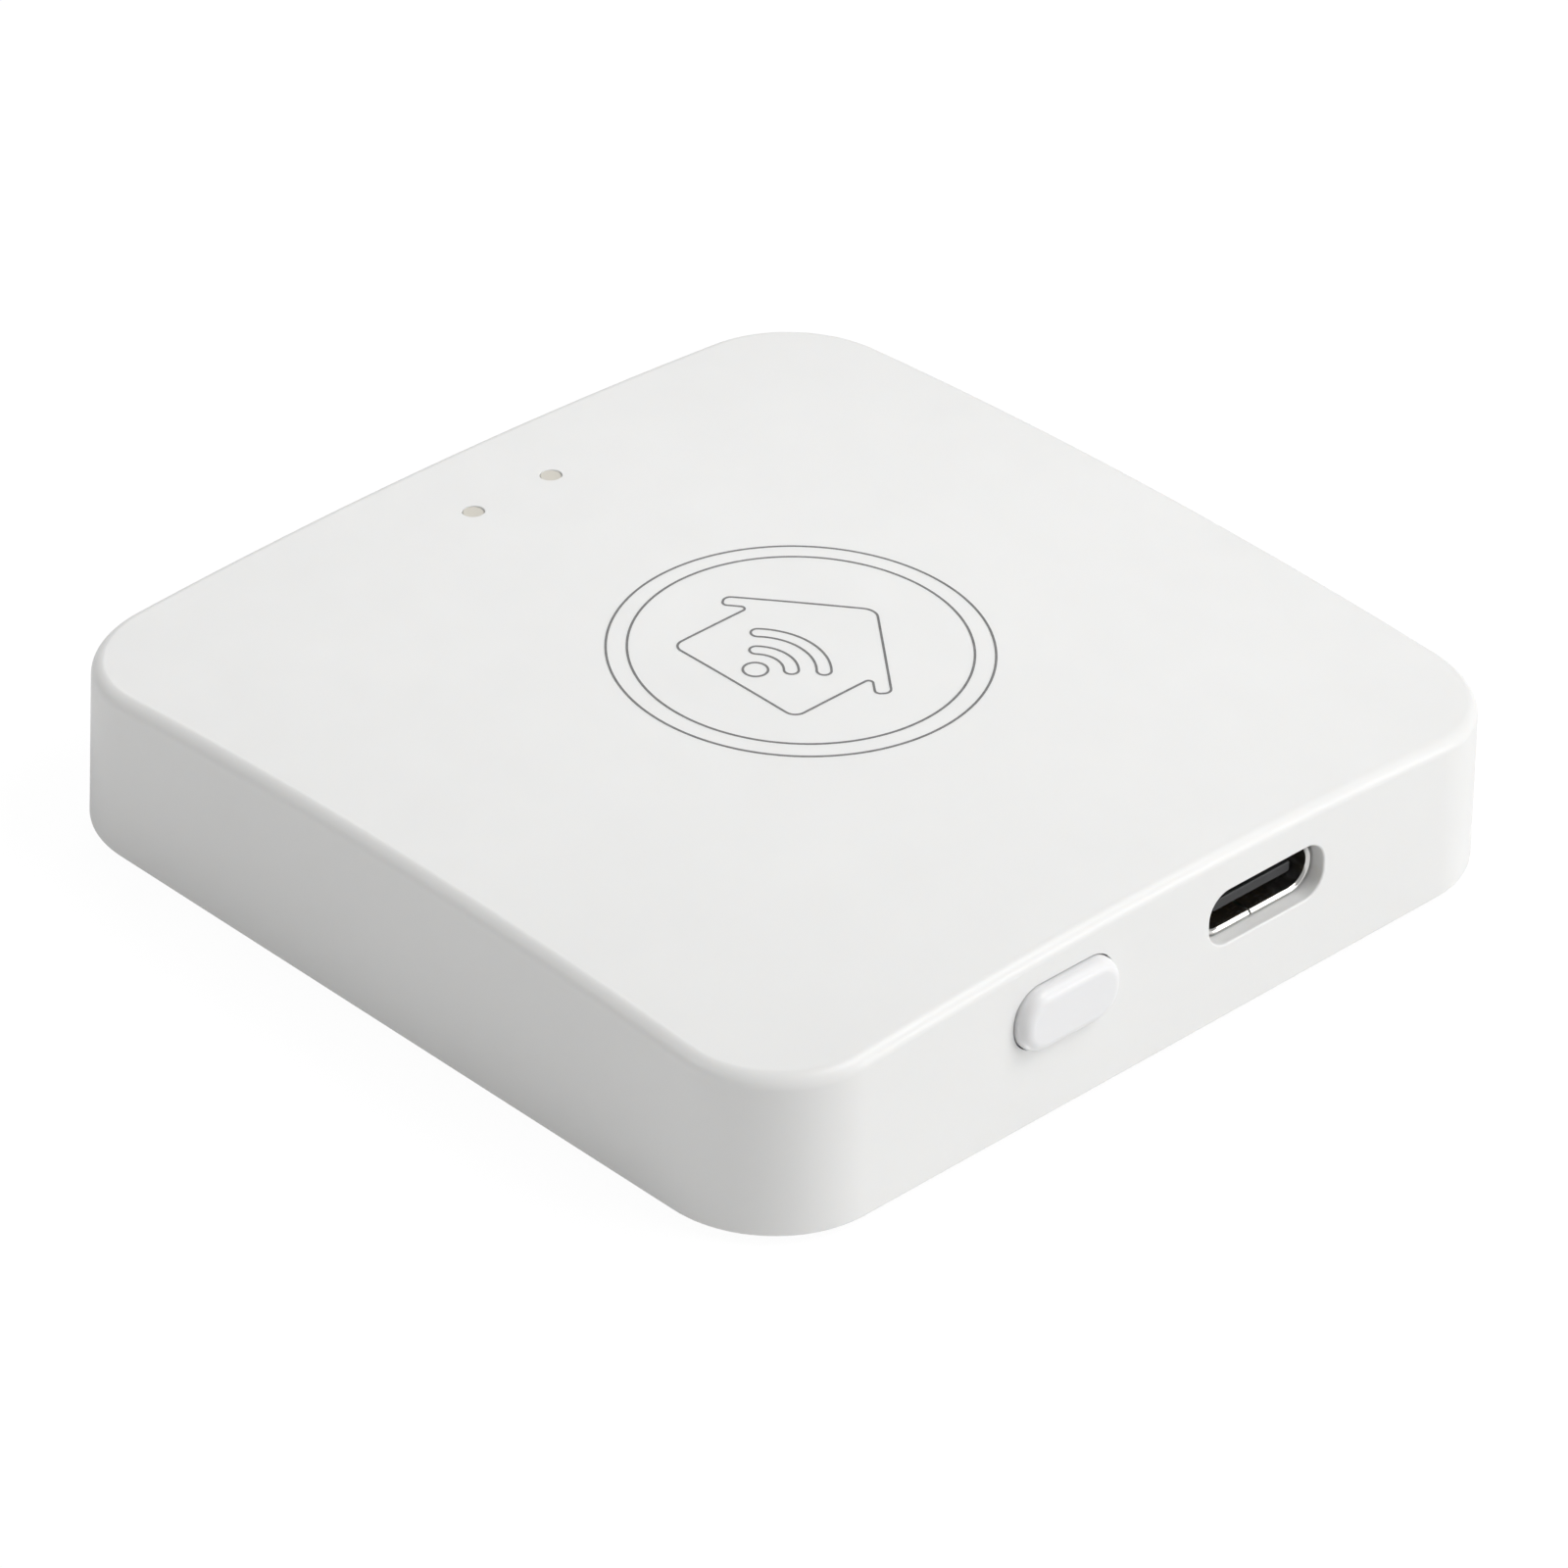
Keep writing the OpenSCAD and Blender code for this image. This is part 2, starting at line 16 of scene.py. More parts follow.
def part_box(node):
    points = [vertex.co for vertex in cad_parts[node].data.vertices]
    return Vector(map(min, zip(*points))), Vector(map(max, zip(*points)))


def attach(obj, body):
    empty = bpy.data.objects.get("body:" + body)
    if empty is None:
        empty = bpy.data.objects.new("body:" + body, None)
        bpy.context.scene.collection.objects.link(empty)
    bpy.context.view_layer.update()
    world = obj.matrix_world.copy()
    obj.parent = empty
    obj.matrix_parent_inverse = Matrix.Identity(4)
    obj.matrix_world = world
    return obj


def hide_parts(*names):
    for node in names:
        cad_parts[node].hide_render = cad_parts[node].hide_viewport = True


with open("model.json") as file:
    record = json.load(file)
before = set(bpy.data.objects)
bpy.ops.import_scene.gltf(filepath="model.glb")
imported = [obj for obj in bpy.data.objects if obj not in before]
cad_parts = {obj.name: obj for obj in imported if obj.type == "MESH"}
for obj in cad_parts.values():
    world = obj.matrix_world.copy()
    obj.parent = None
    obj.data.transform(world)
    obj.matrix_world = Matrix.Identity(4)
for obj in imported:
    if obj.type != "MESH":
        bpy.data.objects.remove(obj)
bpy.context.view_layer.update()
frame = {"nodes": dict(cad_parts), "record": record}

MM = 0.001
UP = Vector((0, 0, 1))
OUT = Vector((1, 0, 0))


def node_box(node):
    """A CAD node's lowest and highest corners, in millimetres."""
    low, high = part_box(node)
    return Vector(low) / MM, Vector(high) / MM


# Sizes that the frame gives
SHELL_LOW, SHELL_HIGH = node_box("top_shell")
COVER_LOW, COVER_HIGH = node_box("base_cover")
FEET_LOW, FEET_HIGH = node_box("rubber_feet")
LABEL_LOW, LABEL_HIGH = node_box("rating_label")
BUTTON_LOW, BUTTON_HIGH = node_box("side_button")
SOCKET_LOW, SOCKET_HIGH = node_box("usb_shell")
TONGUE_LOW, TONGUE_HIGH = node_box("usb_tongue")
BOARD_TOP = node_box("main_board")[1].z
GUIDE_LOW, GUIDE_HIGH = node_box("light_guide")
SCREWS_LOW_Z = node_box("case_screws")[0].z

# Case
CASE_W = SHELL_HIGH.x - SHELL_LOW.x
CASE_Z = SHELL_LOW.z
# The ink stands this high, and the crown lies that much lower so that the ink stays in the CAD's box
LINE_H = 0.012
CROWN_TOP = SHELL_HIGH.z - LINE_H
CORNER_R = 7.25
DRAFT = math.radians(1.5)
CROWN_R = 333.0
RIM_R = 0.9
BOTTOM_EDGE_R = 0.18
WALL_T = 1.8
TOP_T = 1.5
LIP_T = 0.9
COVER_T = 1.5
SCREW_XY = 21.0
SCREW_PLACES = list(product((-SCREW_XY, SCREW_XY), repeat=2))

# Socket
USB_W = 8.94
USB_H = 3.16
USB_T = 0.3
USB_Y = (SOCKET_LOW.y + SOCKET_HIGH.y) / 2
USB_Z = SOCKET_HIGH.z - USB_H / 2
# Openings in the +X wall: width, height, corner radius
USB_OPENING = (9.2, 3.5, 1.5)

# Button
BUTTON_W = 7.6
BUTTON_H = 3.9
BUTTON_CORNER_R = 1.8
BUTTON_EDGE_R = 0.7
BUTTON_GAP = 0.08
BUTTON_Y = (BUTTON_LOW.y + BUTTON_HIGH.y) / 2
BUTTON_Z = (BUTTON_LOW.z + BUTTON_HIGH.z) / 2
FLANGE_W = BUTTON_HIGH.y - BUTTON_LOW.y
FLANGE_H = BUTTON_HIGH.z - BUTTON_LOW.z
BUTTON_OPENING = (BUTTON_W + 2 * BUTTON_GAP, BUTTON_H + 2 * BUTTON_GAP, BUTTON_CORNER_R + BUTTON_GAP)

# Status lights
LIGHT_X = (GUIDE_LOW.x + GUIDE_HIGH.x) / 2
LIGHT_YS = [(low.y + high.y) / 2 for low, high in (node_box("power_led"), node_box("network_led"))]
LIGHT_R = 0.65

# Printed emblem
EMBLEM_X = 0.77
EMBLEM_Y = 0.43
RING_RADII = (11.0, 9.8)
LINE_W = 0.14
MARK_SCALE = 1.15
BAND_RADII = (1.75, 3.35)
BAND_SPREAD = 44
BAND_W = 0.72
SOURCE_DROP = 3.1
SOURCE_R = 0.62

CROWN_CENTRE = Vector((0, 0, CROWN_TOP - CROWN_R))


# --- Mesh building ---------------------------------------------------------

# How an area is divided into triangles: only inside its outline, with points this close taken as one
INSIDE_OUTLINE = 1
SAME_POINT = 1e-7


def picked(items, numbers):
    """The items that have those numbers."""
    return [items[i] for i in numbers]


class Skin:
    """A mesh under construction, with a normal for every corner of every face."""

    def __init__(self):
        self.points = []
        self.faces = []
        self.normals = []

    def add(self, points):
        """Adds points and returns their numbers."""
        start = len(self.points)
        self.points += [Vector(p) for p in points]
        return list(range(start, len(self.points)))

    def face(self, corners, normals):
        """One face, turned so that it looks the way that its normals point."""
        mean = sum(normals, Vector())
        if self.flat_normal(corners).dot(mean) < 0:
            corners, normals = corners[::-1], normals[::-1]
        self.faces.append(list(corners))
        self.normals.append([n.normalized() for n in normals])

    def flat_normal(self, corners):
        a = self.points[corners[0]]
        total = Vector()
        for i, j in zip(corners[1:-1], corners[2:]):
            total += (self.points[i] - a).cross(self.points[j] - a)
        return total

    def strip(self, ring_a, ring_b, normals_a, normals_b, closed=True):
        """Quads between two rings of the same length."""
        n = len(ring_a)
        for i in range(n if closed else n - 1):
            j = (i + 1) % n
            self.face([ring_a[i], ring_a[j], ring_b[j], ring_b[i]],
                      [normals_a[i], normals_a[j], normals_b[j], normals_b[i]])

    def sharp_strip(self, ring_a, ring_b, normals, closed=True):
        """Quads between two rings that share one set of normals."""
        self.strip(ring_a, ring_b, normals, normals, closed)

    def strips(self, rings, normals, closed=True):
        """Quads from each ring to the next. Every ring has its own normals."""
        for a, b, na, nb in zip(rings, rings[1:], normals, normals[1:]):
            self.strip(a, b, na, nb, closed)

    def patch(self, loops, inner, to_flat, to_point, to_normal, inside):
        """Triangles over an area with holes. loops are closed lists of existing points' numbers, the first
        is the outline. inner are extra 2D points, kept where inside() says so."""
        numbers = [i for loop in loops for i in loop]
        flat = [Vector(to_flat(self.points[i])) for i in numbers]
        edges = []
        start = 0
        for loop in loops:
            n = len(loop)
            edges += [(start + i, start + (i + 1) % n) for i in range(n)]
            start += n
        kept = [Vector(p) for p in inner if inside(Vector(p))]
        numbers += self.add([to_point(p) for p in kept])
        flat += kept
        _, _, triangles, sources, _, _ = delaunay_2d_cdt(flat, edges, [], INSIDE_OUTLINE, SAME_POINT)
        found = [numbers[s[0]] for s in sources]
        holes = [set(loop) for loop in loops[1:]]
        for t in triangles:
            corners = [found[i] for i in t]
            if not any(hole.issuperset(corners) for hole in holes):
                self.face(corners, [to_normal(self.points[i]) for i in corners])

    def build(self, name, material):
        """The finished object, in metres. Flat shading lives in the corner normals."""
        used = sorted({i for f in self.faces for i in f})
        place = {old: new for new, old in enumerate(used)}
        faces = [[place[i] for i in f] for f in self.faces]
        mesh = bpy.data.meshes.new(name)
        mesh.from_pydata([self.points[i] * MM for i in used], [], faces)
        mesh.polygons.foreach_set("use_smooth", [True] * len(mesh.polygons))
        mesh.normals_split_custom_set([n for face in self.normals for n in face])
        mesh.materials.append(material)
        piece = bpy.data.objects.new(name, mesh)
        bpy.context.collection.objects.link(piece)
        return piece


def rounded_pairs(half_x, half_y, r, corner_steps, side_steps):
    """Rounded rectangle as pairs of a 2D point and its outward normal, from the +X side's upper end round."""
    centres = [(1, 1), (-1, 1), (-1, -1), (1, -1)]
    pairs = []
    for q, (sx, sy) in enumerate(centres):
        centre = Vector((sx * (half_x - r), sy * (half_y - r)))
        for i in range(corner_steps + 1):
            turn = math.radians(90 * (q + i / corner_steps))
            normal = Vector((math.cos(turn), math.sin(turn)))
            pairs.append((centre + r * normal, normal))
        nx, ny = centres[(q + 1) % 4]
        turn = math.radians(90 * (q + 1))
        normal = Vector((math.cos(turn), math.sin(turn)))
        end = Vector((nx * (half_x - r), ny * (half_y - r))) + r * normal
        begin = pairs[-1][0]
        for i in range(1, side_steps):
            pairs.append((begin.lerp(end, i / side_steps), normal))
    return pairs


def turn_between(a, b, share):
    """Unit vector part of the way from a to b."""
    angle = a.angle(b)
    if angle < 1e-6:
        return a.copy()
    return (a * math.sin((1 - share) * angle) + b * math.sin(share * angle)) / math.sin(angle)


def circle_ring(skin, x, y, z, r, steps):
    """Horizontal ring. Returns its numbers and outward normals."""
    turns = [2 * math.pi * k / steps for k in range(steps)]
    around = [Vector((math.cos(a), math.sin(a), 0)) for a in turns]
    return skin.add([Vector((x, y, z)) + d * r for d in around]), around


def plate_ring(skin, pairs, z, grow=0.0):
    """Horizontal ring of an outline. Returns its numbers and its outward normals."""
    numbers = skin.add([(p.x + n.x * grow, p.y + n.y * grow, z) for p, n in pairs])
    return numbers, [Vector((n.x, n.y, 0)) for _, n in pairs]


def slot_ring(skin, x, y, z, pairs, grow=0.0):
    """Ring of an outline that faces +X. Returns its numbers and its outward normals."""
    numbers = skin.add([(x, y + p.x + n.x * grow, z + p.y + n.y * grow) for p, n in pairs])
    return numbers, [Vector((0, n.x, n.y)) for _, n in pairs]


def round_edge(skin, ring, outward, facing, edge_r, steps, ring_at):
    """Carries a ring round an edge until it faces another way. ring_at(short, inset) makes a ring that is
    that far short of the next face and that far inside the outline. Returns the last ring and its normals."""
    rings = [ring]
    normals = [outward]
    for i in range(1, steps + 1):
        turn = math.pi / 2 * i / steps
        numbers, _ = ring_at(edge_r * (1 - math.sin(turn)), edge_r * (1 - math.cos(turn)))
        rings.append(numbers)
        normals.append([turn_between(n, facing, i / steps) for n in outward])
    skin.strips(rings, normals)
    return rings[-1], normals[-1]


def flat_patch(skin, loops, normal):
    """A flat area with holes, between rings that exist already. It faces along X, about, or along Z."""
    across_x = abs(normal.x) > 0.5
    skin.patch(loops, [], lambda p: (p.y, p.z) if across_x else (p.x, p.y), None,
               lambda p: normal, lambda p: False)


def block(skin, low, high):
    """A plain box, for parts that the case hides."""
    corners = skin.add(product(*zip(low, high)))
    sides = [((0, 1, 3, 2), -OUT), ((4, 5, 7, 6), OUT),
             ((0, 1, 5, 4), Vector((0, -1, 0))), ((2, 3, 7, 6), Vector((0, 1, 0))),
             ((0, 2, 6, 4), -UP), ((1, 3, 7, 5), UP)]
    for numbers, normal in sides:
        skin.face(picked(corners, numbers), [normal] * 4)


# --- Case ------------------------------------------------------------------

CASE_CORNER_STEPS = 24
CASE_SIDE_STEPS = 30
RIM_STEPS = 10
EDGE_STEPS = 4
OPENING_EDGE_R = 0.12
PINHOLE_EDGE_R = 0.06
SLOT_CORNER_STEPS = 12
SLOT_SIDE_STEPS = 6
PINHOLE_STEPS = 40
BUTTON_OPENING_EDGE_R = OPENING_EDGE_R / 3

# The crown's mesh: a square grid, and two rings of points round each pinhole
GRID_STEP = 2.5
GRID_TO_RIM = 1.0
GRID_TO_PINHOLE = 2.2
HALO_RADII = (1.1, 1.7)
HALO_STEPS = 20
HALO_TO_PINHOLE = 0.2

# Inside: the lip round the cover, the screw bosses, and the ribs beside the button's flange
LIP_BEVEL = 0.08
LEDGE_GAP = 0.02
BOSS_TOP = CASE_Z + 10.1
BOSS_R = 2.8
BOSS_BORE_R = 1.33
BOSS_ROOF_T = 0.6
BOSS_STEPS = 32
RIB_ASIDE = 0.7
RIB_T = 1.0
RIB_REACH = 1.4
RIB_ROOT = 0.2
RIB_FOOT = 0.5
RIB_TOP = 5.0


def crown_z(x, y, drop=0.0):
    """Height of the crown, or of the surface that far under it."""
    return CROWN_CENTRE.z + math.sqrt((CROWN_R - drop) ** 2 - x * x - y * y)


def crown_normal(p):
    return (Vector(p) - CROWN_CENTRE).normalized()


def wall_x(z):
    """X of the +X wall's face at a height."""
    return CASE_W / 2 - math.tan(DRAFT) * (z - CASE_Z)


def rim_centre(pair):
    """Centre of a ball that rolls along the rim, inside, touching the wall and the crown."""
    base, normal = pair
    # A rough height, which each round brings closer
    z = 10.0
    for _ in range(6):
        inset = math.tan(DRAFT) * z + RIM_R / math.cos(DRAFT)
        p = base - normal * inset
        z = crown_z(p.x, p.y, RIM_R) - CASE_Z
    return Vector((p.x, p.y, z + CASE_Z))


def wall_normal(normal):
    return Vector((normal.x * math.cos(DRAFT), normal.y * math.cos(DRAFT), math.sin(DRAFT)))


def opening_rings(skin, y, z, size, edge_r, face_x, depth_x):
    """Rounded edge and tunnel of an opening in the +X wall. Returns the rings at the outer and inner face."""
    w, h, r = size
    pairs = rounded_pairs(w / 2, h / 2, r, SLOT_CORNER_STEPS, SLOT_SIDE_STEPS)
    rings = []
    normals = []
    for i in range(EDGE_STEPS + 1):
        turn = math.pi / 2 * i / EDGE_STEPS
        grow = edge_r * (1 - math.sin(turn))
        sink = edge_r * (1 - math.cos(turn))
        points = []
        ring_normals = []
        for p, n in pairs:
            q = p + n * grow
            points.append((face_x(z + q.y) - sink, y + q.x, z + q.y))
            inward = Vector((0, -n.x, -n.y))
            ring_normals.append(turn_between(OUT, inward, i / EDGE_STEPS))
        rings.append(skin.add(points))
        normals.append(ring_normals)
    skin.strips(rings, normals)
    inner = skin.add([(depth_x, y + p.x, z + p.y) for p, _ in pairs])
    skin.sharp_strip(rings[-1], inner, normals[-1])
    return rings[0], inner


def pinhole_rings(skin, x, y):
    """Rounded edge and bore of a light pinhole. Returns the rings at the crown and at the ceiling."""
    rings = []
    normals = []
    for i in range(EDGE_STEPS + 1):
        turn = math.pi / 2 * i / EDGE_STEPS
        r = LIGHT_R + PINHOLE_EDGE_R * (1 - math.sin(turn))
        points = []
        ring_normals = []
        for k in range(PINHOLE_STEPS):
            a = 2 * math.pi * k / PINHOLE_STEPS
            px = x + r * math.cos(a)
            py = y + r * math.sin(a)
            points.append((px, py, crown_z(px, py) - PINHOLE_EDGE_R * (1 - math.cos(turn))))
            inward = Vector((-math.cos(a), -math.sin(a), 0))
            ring_normals.append(turn_between(crown_normal(points[-1]), inward, i / EDGE_STEPS))
        rings.append(skin.add(points))
        normals.append(ring_normals)
    skin.strips(rings, normals)
    bore = picked(skin.points, rings[-1])
    ceiling = skin.add([(p.x, p.y, crown_z(p.x, p.y, TOP_T)) for p in bore])
    skin.sharp_strip(rings[-1], ceiling, normals[-1])
    return rings[0], ceiling


def boss(skin, x, y):
    """A screw boss: a round post with a blind bore from below."""
    outer_low, around = circle_ring(skin, x, y, BOARD_TOP, BOSS_R, BOSS_STEPS)
    outer_high, _ = circle_ring(skin, x, y, BOSS_TOP, BOSS_R, BOSS_STEPS)
    inner_low, _ = circle_ring(skin, x, y, BOARD_TOP, BOSS_BORE_R, BOSS_STEPS)
    inner_high, _ = circle_ring(skin, x, y, BOSS_TOP - BOSS_ROOF_T, BOSS_BORE_R, BOSS_STEPS)
    down = [-UP] * BOSS_STEPS
    skin.sharp_strip(outer_low, outer_high, around)
    skin.sharp_strip(inner_low, inner_high, [-d for d in around])
    skin.sharp_strip(outer_low, inner_low, down)
    skin.face(outer_high, [UP] * BOSS_STEPS)
    skin.face(inner_high, down)


def crown_patch(skin, rim, holes, drop, facing):
    """The crown, or the ceiling under it, with the pinholes left open."""
    count = int(CASE_W / 2 / GRID_STEP)
    grid = list(product([i * GRID_STEP for i in range(-count, count + 1)], repeat=2))
    halo_turns = [2 * math.pi * k / HALO_STEPS for k in range(HALO_STEPS)]
    for y, r in product(LIGHT_YS, HALO_RADII):
        grid += [(LIGHT_X + r * math.cos(a), y + r * math.sin(a)) for a in halo_turns]
    outline = picked(skin.points, rim)
    limit_x = max(p.x for p in outline) - GRID_TO_RIM
    limit_y = max(p.y for p in outline) - GRID_TO_RIM

    def inside(p):
        past_x = max(abs(p.x) - limit_x + CORNER_R, 0)
        past_y = max(abs(p.y) - limit_y + CORNER_R, 0)
        if math.hypot(past_x, past_y) > CORNER_R:
            return False
        near = min(math.hypot(p.x - LIGHT_X, p.y - y) for y in LIGHT_YS)
        on_grid = abs(p.x / GRID_STEP - round(p.x / GRID_STEP)) < 1e-6
        return near > (GRID_TO_PINHOLE if on_grid else LIGHT_R + HALO_TO_PINHOLE)

    skin.patch([rim] + holes, grid,
               lambda p: (p.x, p.y),
               lambda p: (p.x, p.y, crown_z(p.x, p.y, drop)),
               lambda p: crown_normal(p) * facing, inside)


def make_shell(material):
    """White moulding: walls with draft, rounded rim, crown, openings, pinholes, lip, bosses and ribs."""
    skin = Skin()
    pairs = rounded_pairs(CASE_W / 2, CASE_W / 2, CORNER_R, CASE_CORNER_STEPS, CASE_SIDE_STEPS)
    n = len(pairs)
    first_flat = n - CASE_SIDE_STEPS
    flat_run = list(range(first_flat, n)) + [0]
    walls = [wall_normal(normal) for _, normal in pairs]
    centres = [rim_centre(pair) for pair in pairs]
    tops = [crown_normal(c) for c in centres]

    rims = []
    rim_normals = []
    for i in range(RIM_STEPS + 1):
        normals = [turn_between(w, t, i / RIM_STEPS) for w, t in zip(walls, tops)]
        rims.append(skin.add([c + m * RIM_R for c, m in zip(centres, normals)]))
        rim_normals.append(normals)
    skin.strips(rims, rim_normals)

    edges = []
    edge_normals = []
    inset = math.tan(DRAFT) * BOTTOM_EDGE_R + BOTTOM_EDGE_R / math.cos(DRAFT)
    for i in range(EDGE_STEPS + 1):
        normals = [turn_between(w, -UP, i / EDGE_STEPS) for w in walls]
        points = []
        for (base, normal), m in zip(pairs, normals):
            p = base - normal * inset
            points.append(Vector((p.x, p.y, CASE_Z + BOTTOM_EDGE_R)) + m * BOTTOM_EDGE_R)
        edges.append(skin.add(points))
        edge_normals.append(normals)
    skin.strips(edges, edge_normals)

    bent = list(range(0, first_flat + 1))
    skin.sharp_strip(picked(edges[0], bent), picked(rims[0], bent), picked(walls, bent), closed=False)

    inner_x = CASE_W / 2 - WALL_T
    usb_outer, usb_inner = opening_rings(skin, USB_Y, USB_Z, USB_OPENING, OPENING_EDGE_R, wall_x, inner_x)
    key_outer, key_inner = opening_rings(skin, BUTTON_Y, BUTTON_Z, BUTTON_OPENING, BUTTON_OPENING_EDGE_R,
                                         wall_x, inner_x)
    outline = picked(edges[0], flat_run) + picked(rims[0], reversed(flat_run))
    flat_patch(skin, [outline, usb_outer, key_outer], wall_normal(Vector((1, 0))))

    def inset_ring(inset, z):
        return skin.add([(p.x - m.x * inset, p.y - m.y * inset, z) for p, m in pairs])

    flat = [Vector((m.x, m.y, 0)) for _, m in pairs]
    inward = [-m for m in flat]
    down = [-UP] * n
    ledge_z = CASE_Z + COVER_T + LEDGE_GAP
    lip_low = inset_ring(LIP_T - LIP_BEVEL, CASE_Z)
    lip_in = inset_ring(LIP_T, CASE_Z + LIP_BEVEL)
    skin.sharp_strip(edges[-1], lip_low, down)
    skin.strip(lip_low, lip_in, down, inward)
    lip_high = inset_ring(LIP_T, ledge_z)
    ledge_in = inset_ring(WALL_T, ledge_z)
    skin.sharp_strip(lip_in, lip_high, inward)
    skin.sharp_strip(lip_high, ledge_in, down)
    ceiling_rim = skin.add([(p.x - m.x * WALL_T, p.y - m.y * WALL_T,
                             crown_z(p.x - m.x * WALL_T, p.y - m.y * WALL_T, TOP_T)) for p, m in pairs])
    skin.sharp_strip(picked(ledge_in, bent), picked(ceiling_rim, bent), picked(inward, bent), closed=False)
    outline = picked(ledge_in, flat_run) + picked(ceiling_rim, reversed(flat_run))
    flat_patch(skin, [outline, usb_inner, key_inner], -OUT)

    holes = [pinhole_rings(skin, LIGHT_X, y) for y in LIGHT_YS]
    crown_patch(skin, rims[-1], [h[0] for h in holes], 0, 1)
    crown_patch(skin, ceiling_rim, [h[1] for h in holes], TOP_T, -1)

    for x, y in SCREW_PLACES:
        boss(skin, x, y)
    for side in (-1, 1):
        y = BUTTON_Y + side * (FLANGE_W / 2 + RIB_ASIDE)
        block(skin, (inner_x - RIB_REACH, y - RIB_T / 2, BOARD_TOP + RIB_FOOT),
              (inner_x + RIB_ROOT, y + RIB_T / 2, BOARD_TOP + RIB_TOP))
    return skin.build("shell_moulding", material)


# --- Button ----------------------------------------------------------------

FLANGE_T = 0.8
FLANGE_CORNER_R = 0.8
SWITCH_RIB_W = 2.4
SWITCH_RIB_H = 1.2
SWITCH_RIB_CORNER_R = 0.3


def rounded_front(skin, ring, outward, x, y, z, pairs, edge_r, steps):
    """Carries an outline that faces +X round an edge onto a flat face at x."""
    last, _ = round_edge(skin, ring, outward, OUT, edge_r, steps,
                         lambda short, inset: slot_ring(skin, x - short, y, z, pairs, -inset))
    flat_patch(skin, [last], OUT)


def make_button(material):
    """White cap: rounded face, stem, flange behind the wall and the rib that meets the switch."""
    skin = Skin()
    face_x = BUTTON_HIGH.x
    flange_front = wall_x(CROWN_TOP) - WALL_T
    flange_back = flange_front - FLANGE_T
    stem = rounded_pairs(BUTTON_W / 2, BUTTON_H / 2, BUTTON_CORNER_R, corner_steps=16, side_steps=8)
    flange = rounded_pairs(FLANGE_W / 2, FLANGE_H / 2, FLANGE_CORNER_R, corner_steps=8, side_steps=4)
    rib = rounded_pairs(SWITCH_RIB_W / 2, SWITCH_RIB_H / 2, SWITCH_RIB_CORNER_R, corner_steps=4, side_steps=2)

    def ring(x, pairs):
        return slot_ring(skin, x, BUTTON_Y, BUTTON_Z, pairs)

    stem_low, around = ring(flange_front, stem)
    stem_high, _ = ring(face_x - BUTTON_EDGE_R, stem)
    skin.sharp_strip(stem_low, stem_high, around)
    rounded_front(skin, stem_high, around, face_x, BUTTON_Y, BUTTON_Z, stem, BUTTON_EDGE_R, steps=10)

    front, flange_around = ring(flange_front, flange)
    behind, _ = ring(flange_back, flange)
    rib_root, rib_around = ring(flange_back, rib)
    rib_tip, _ = ring(BUTTON_LOW.x, rib)
    flat_patch(skin, [front, stem_low], OUT)
    skin.sharp_strip(front, behind, flange_around)
    flat_patch(skin, [behind, rib_root], -OUT)
    skin.sharp_strip(rib_root, rib_tip, rib_around)
    flat_patch(skin, [rib_tip], -OUT)
    return skin.build("button_cap", material)


# --- Socket ----------------------------------------------------------------

MOUTH_EDGE_R = 0.06
SEAM_Y = -0.35
SEAM_W = 0.16
LEG_PLACES = (1.2, 5.0)
LEG_W = 0.9
LEG_ROOT = 0.3
BLOCK_L = 2.4
TONGUE_W = 6.69
TONGUE_T = 0.7
NECK_W = 6.2
NECK_T = 0.69
NECK_L = 1.1
TONGUE_CORNER_R = 0.14
TONGUE_TIP_R = 0.1
# How much less than half its height a side's corner radius is, so that the side keeps a flat
SIDE_FLAT = 0.01


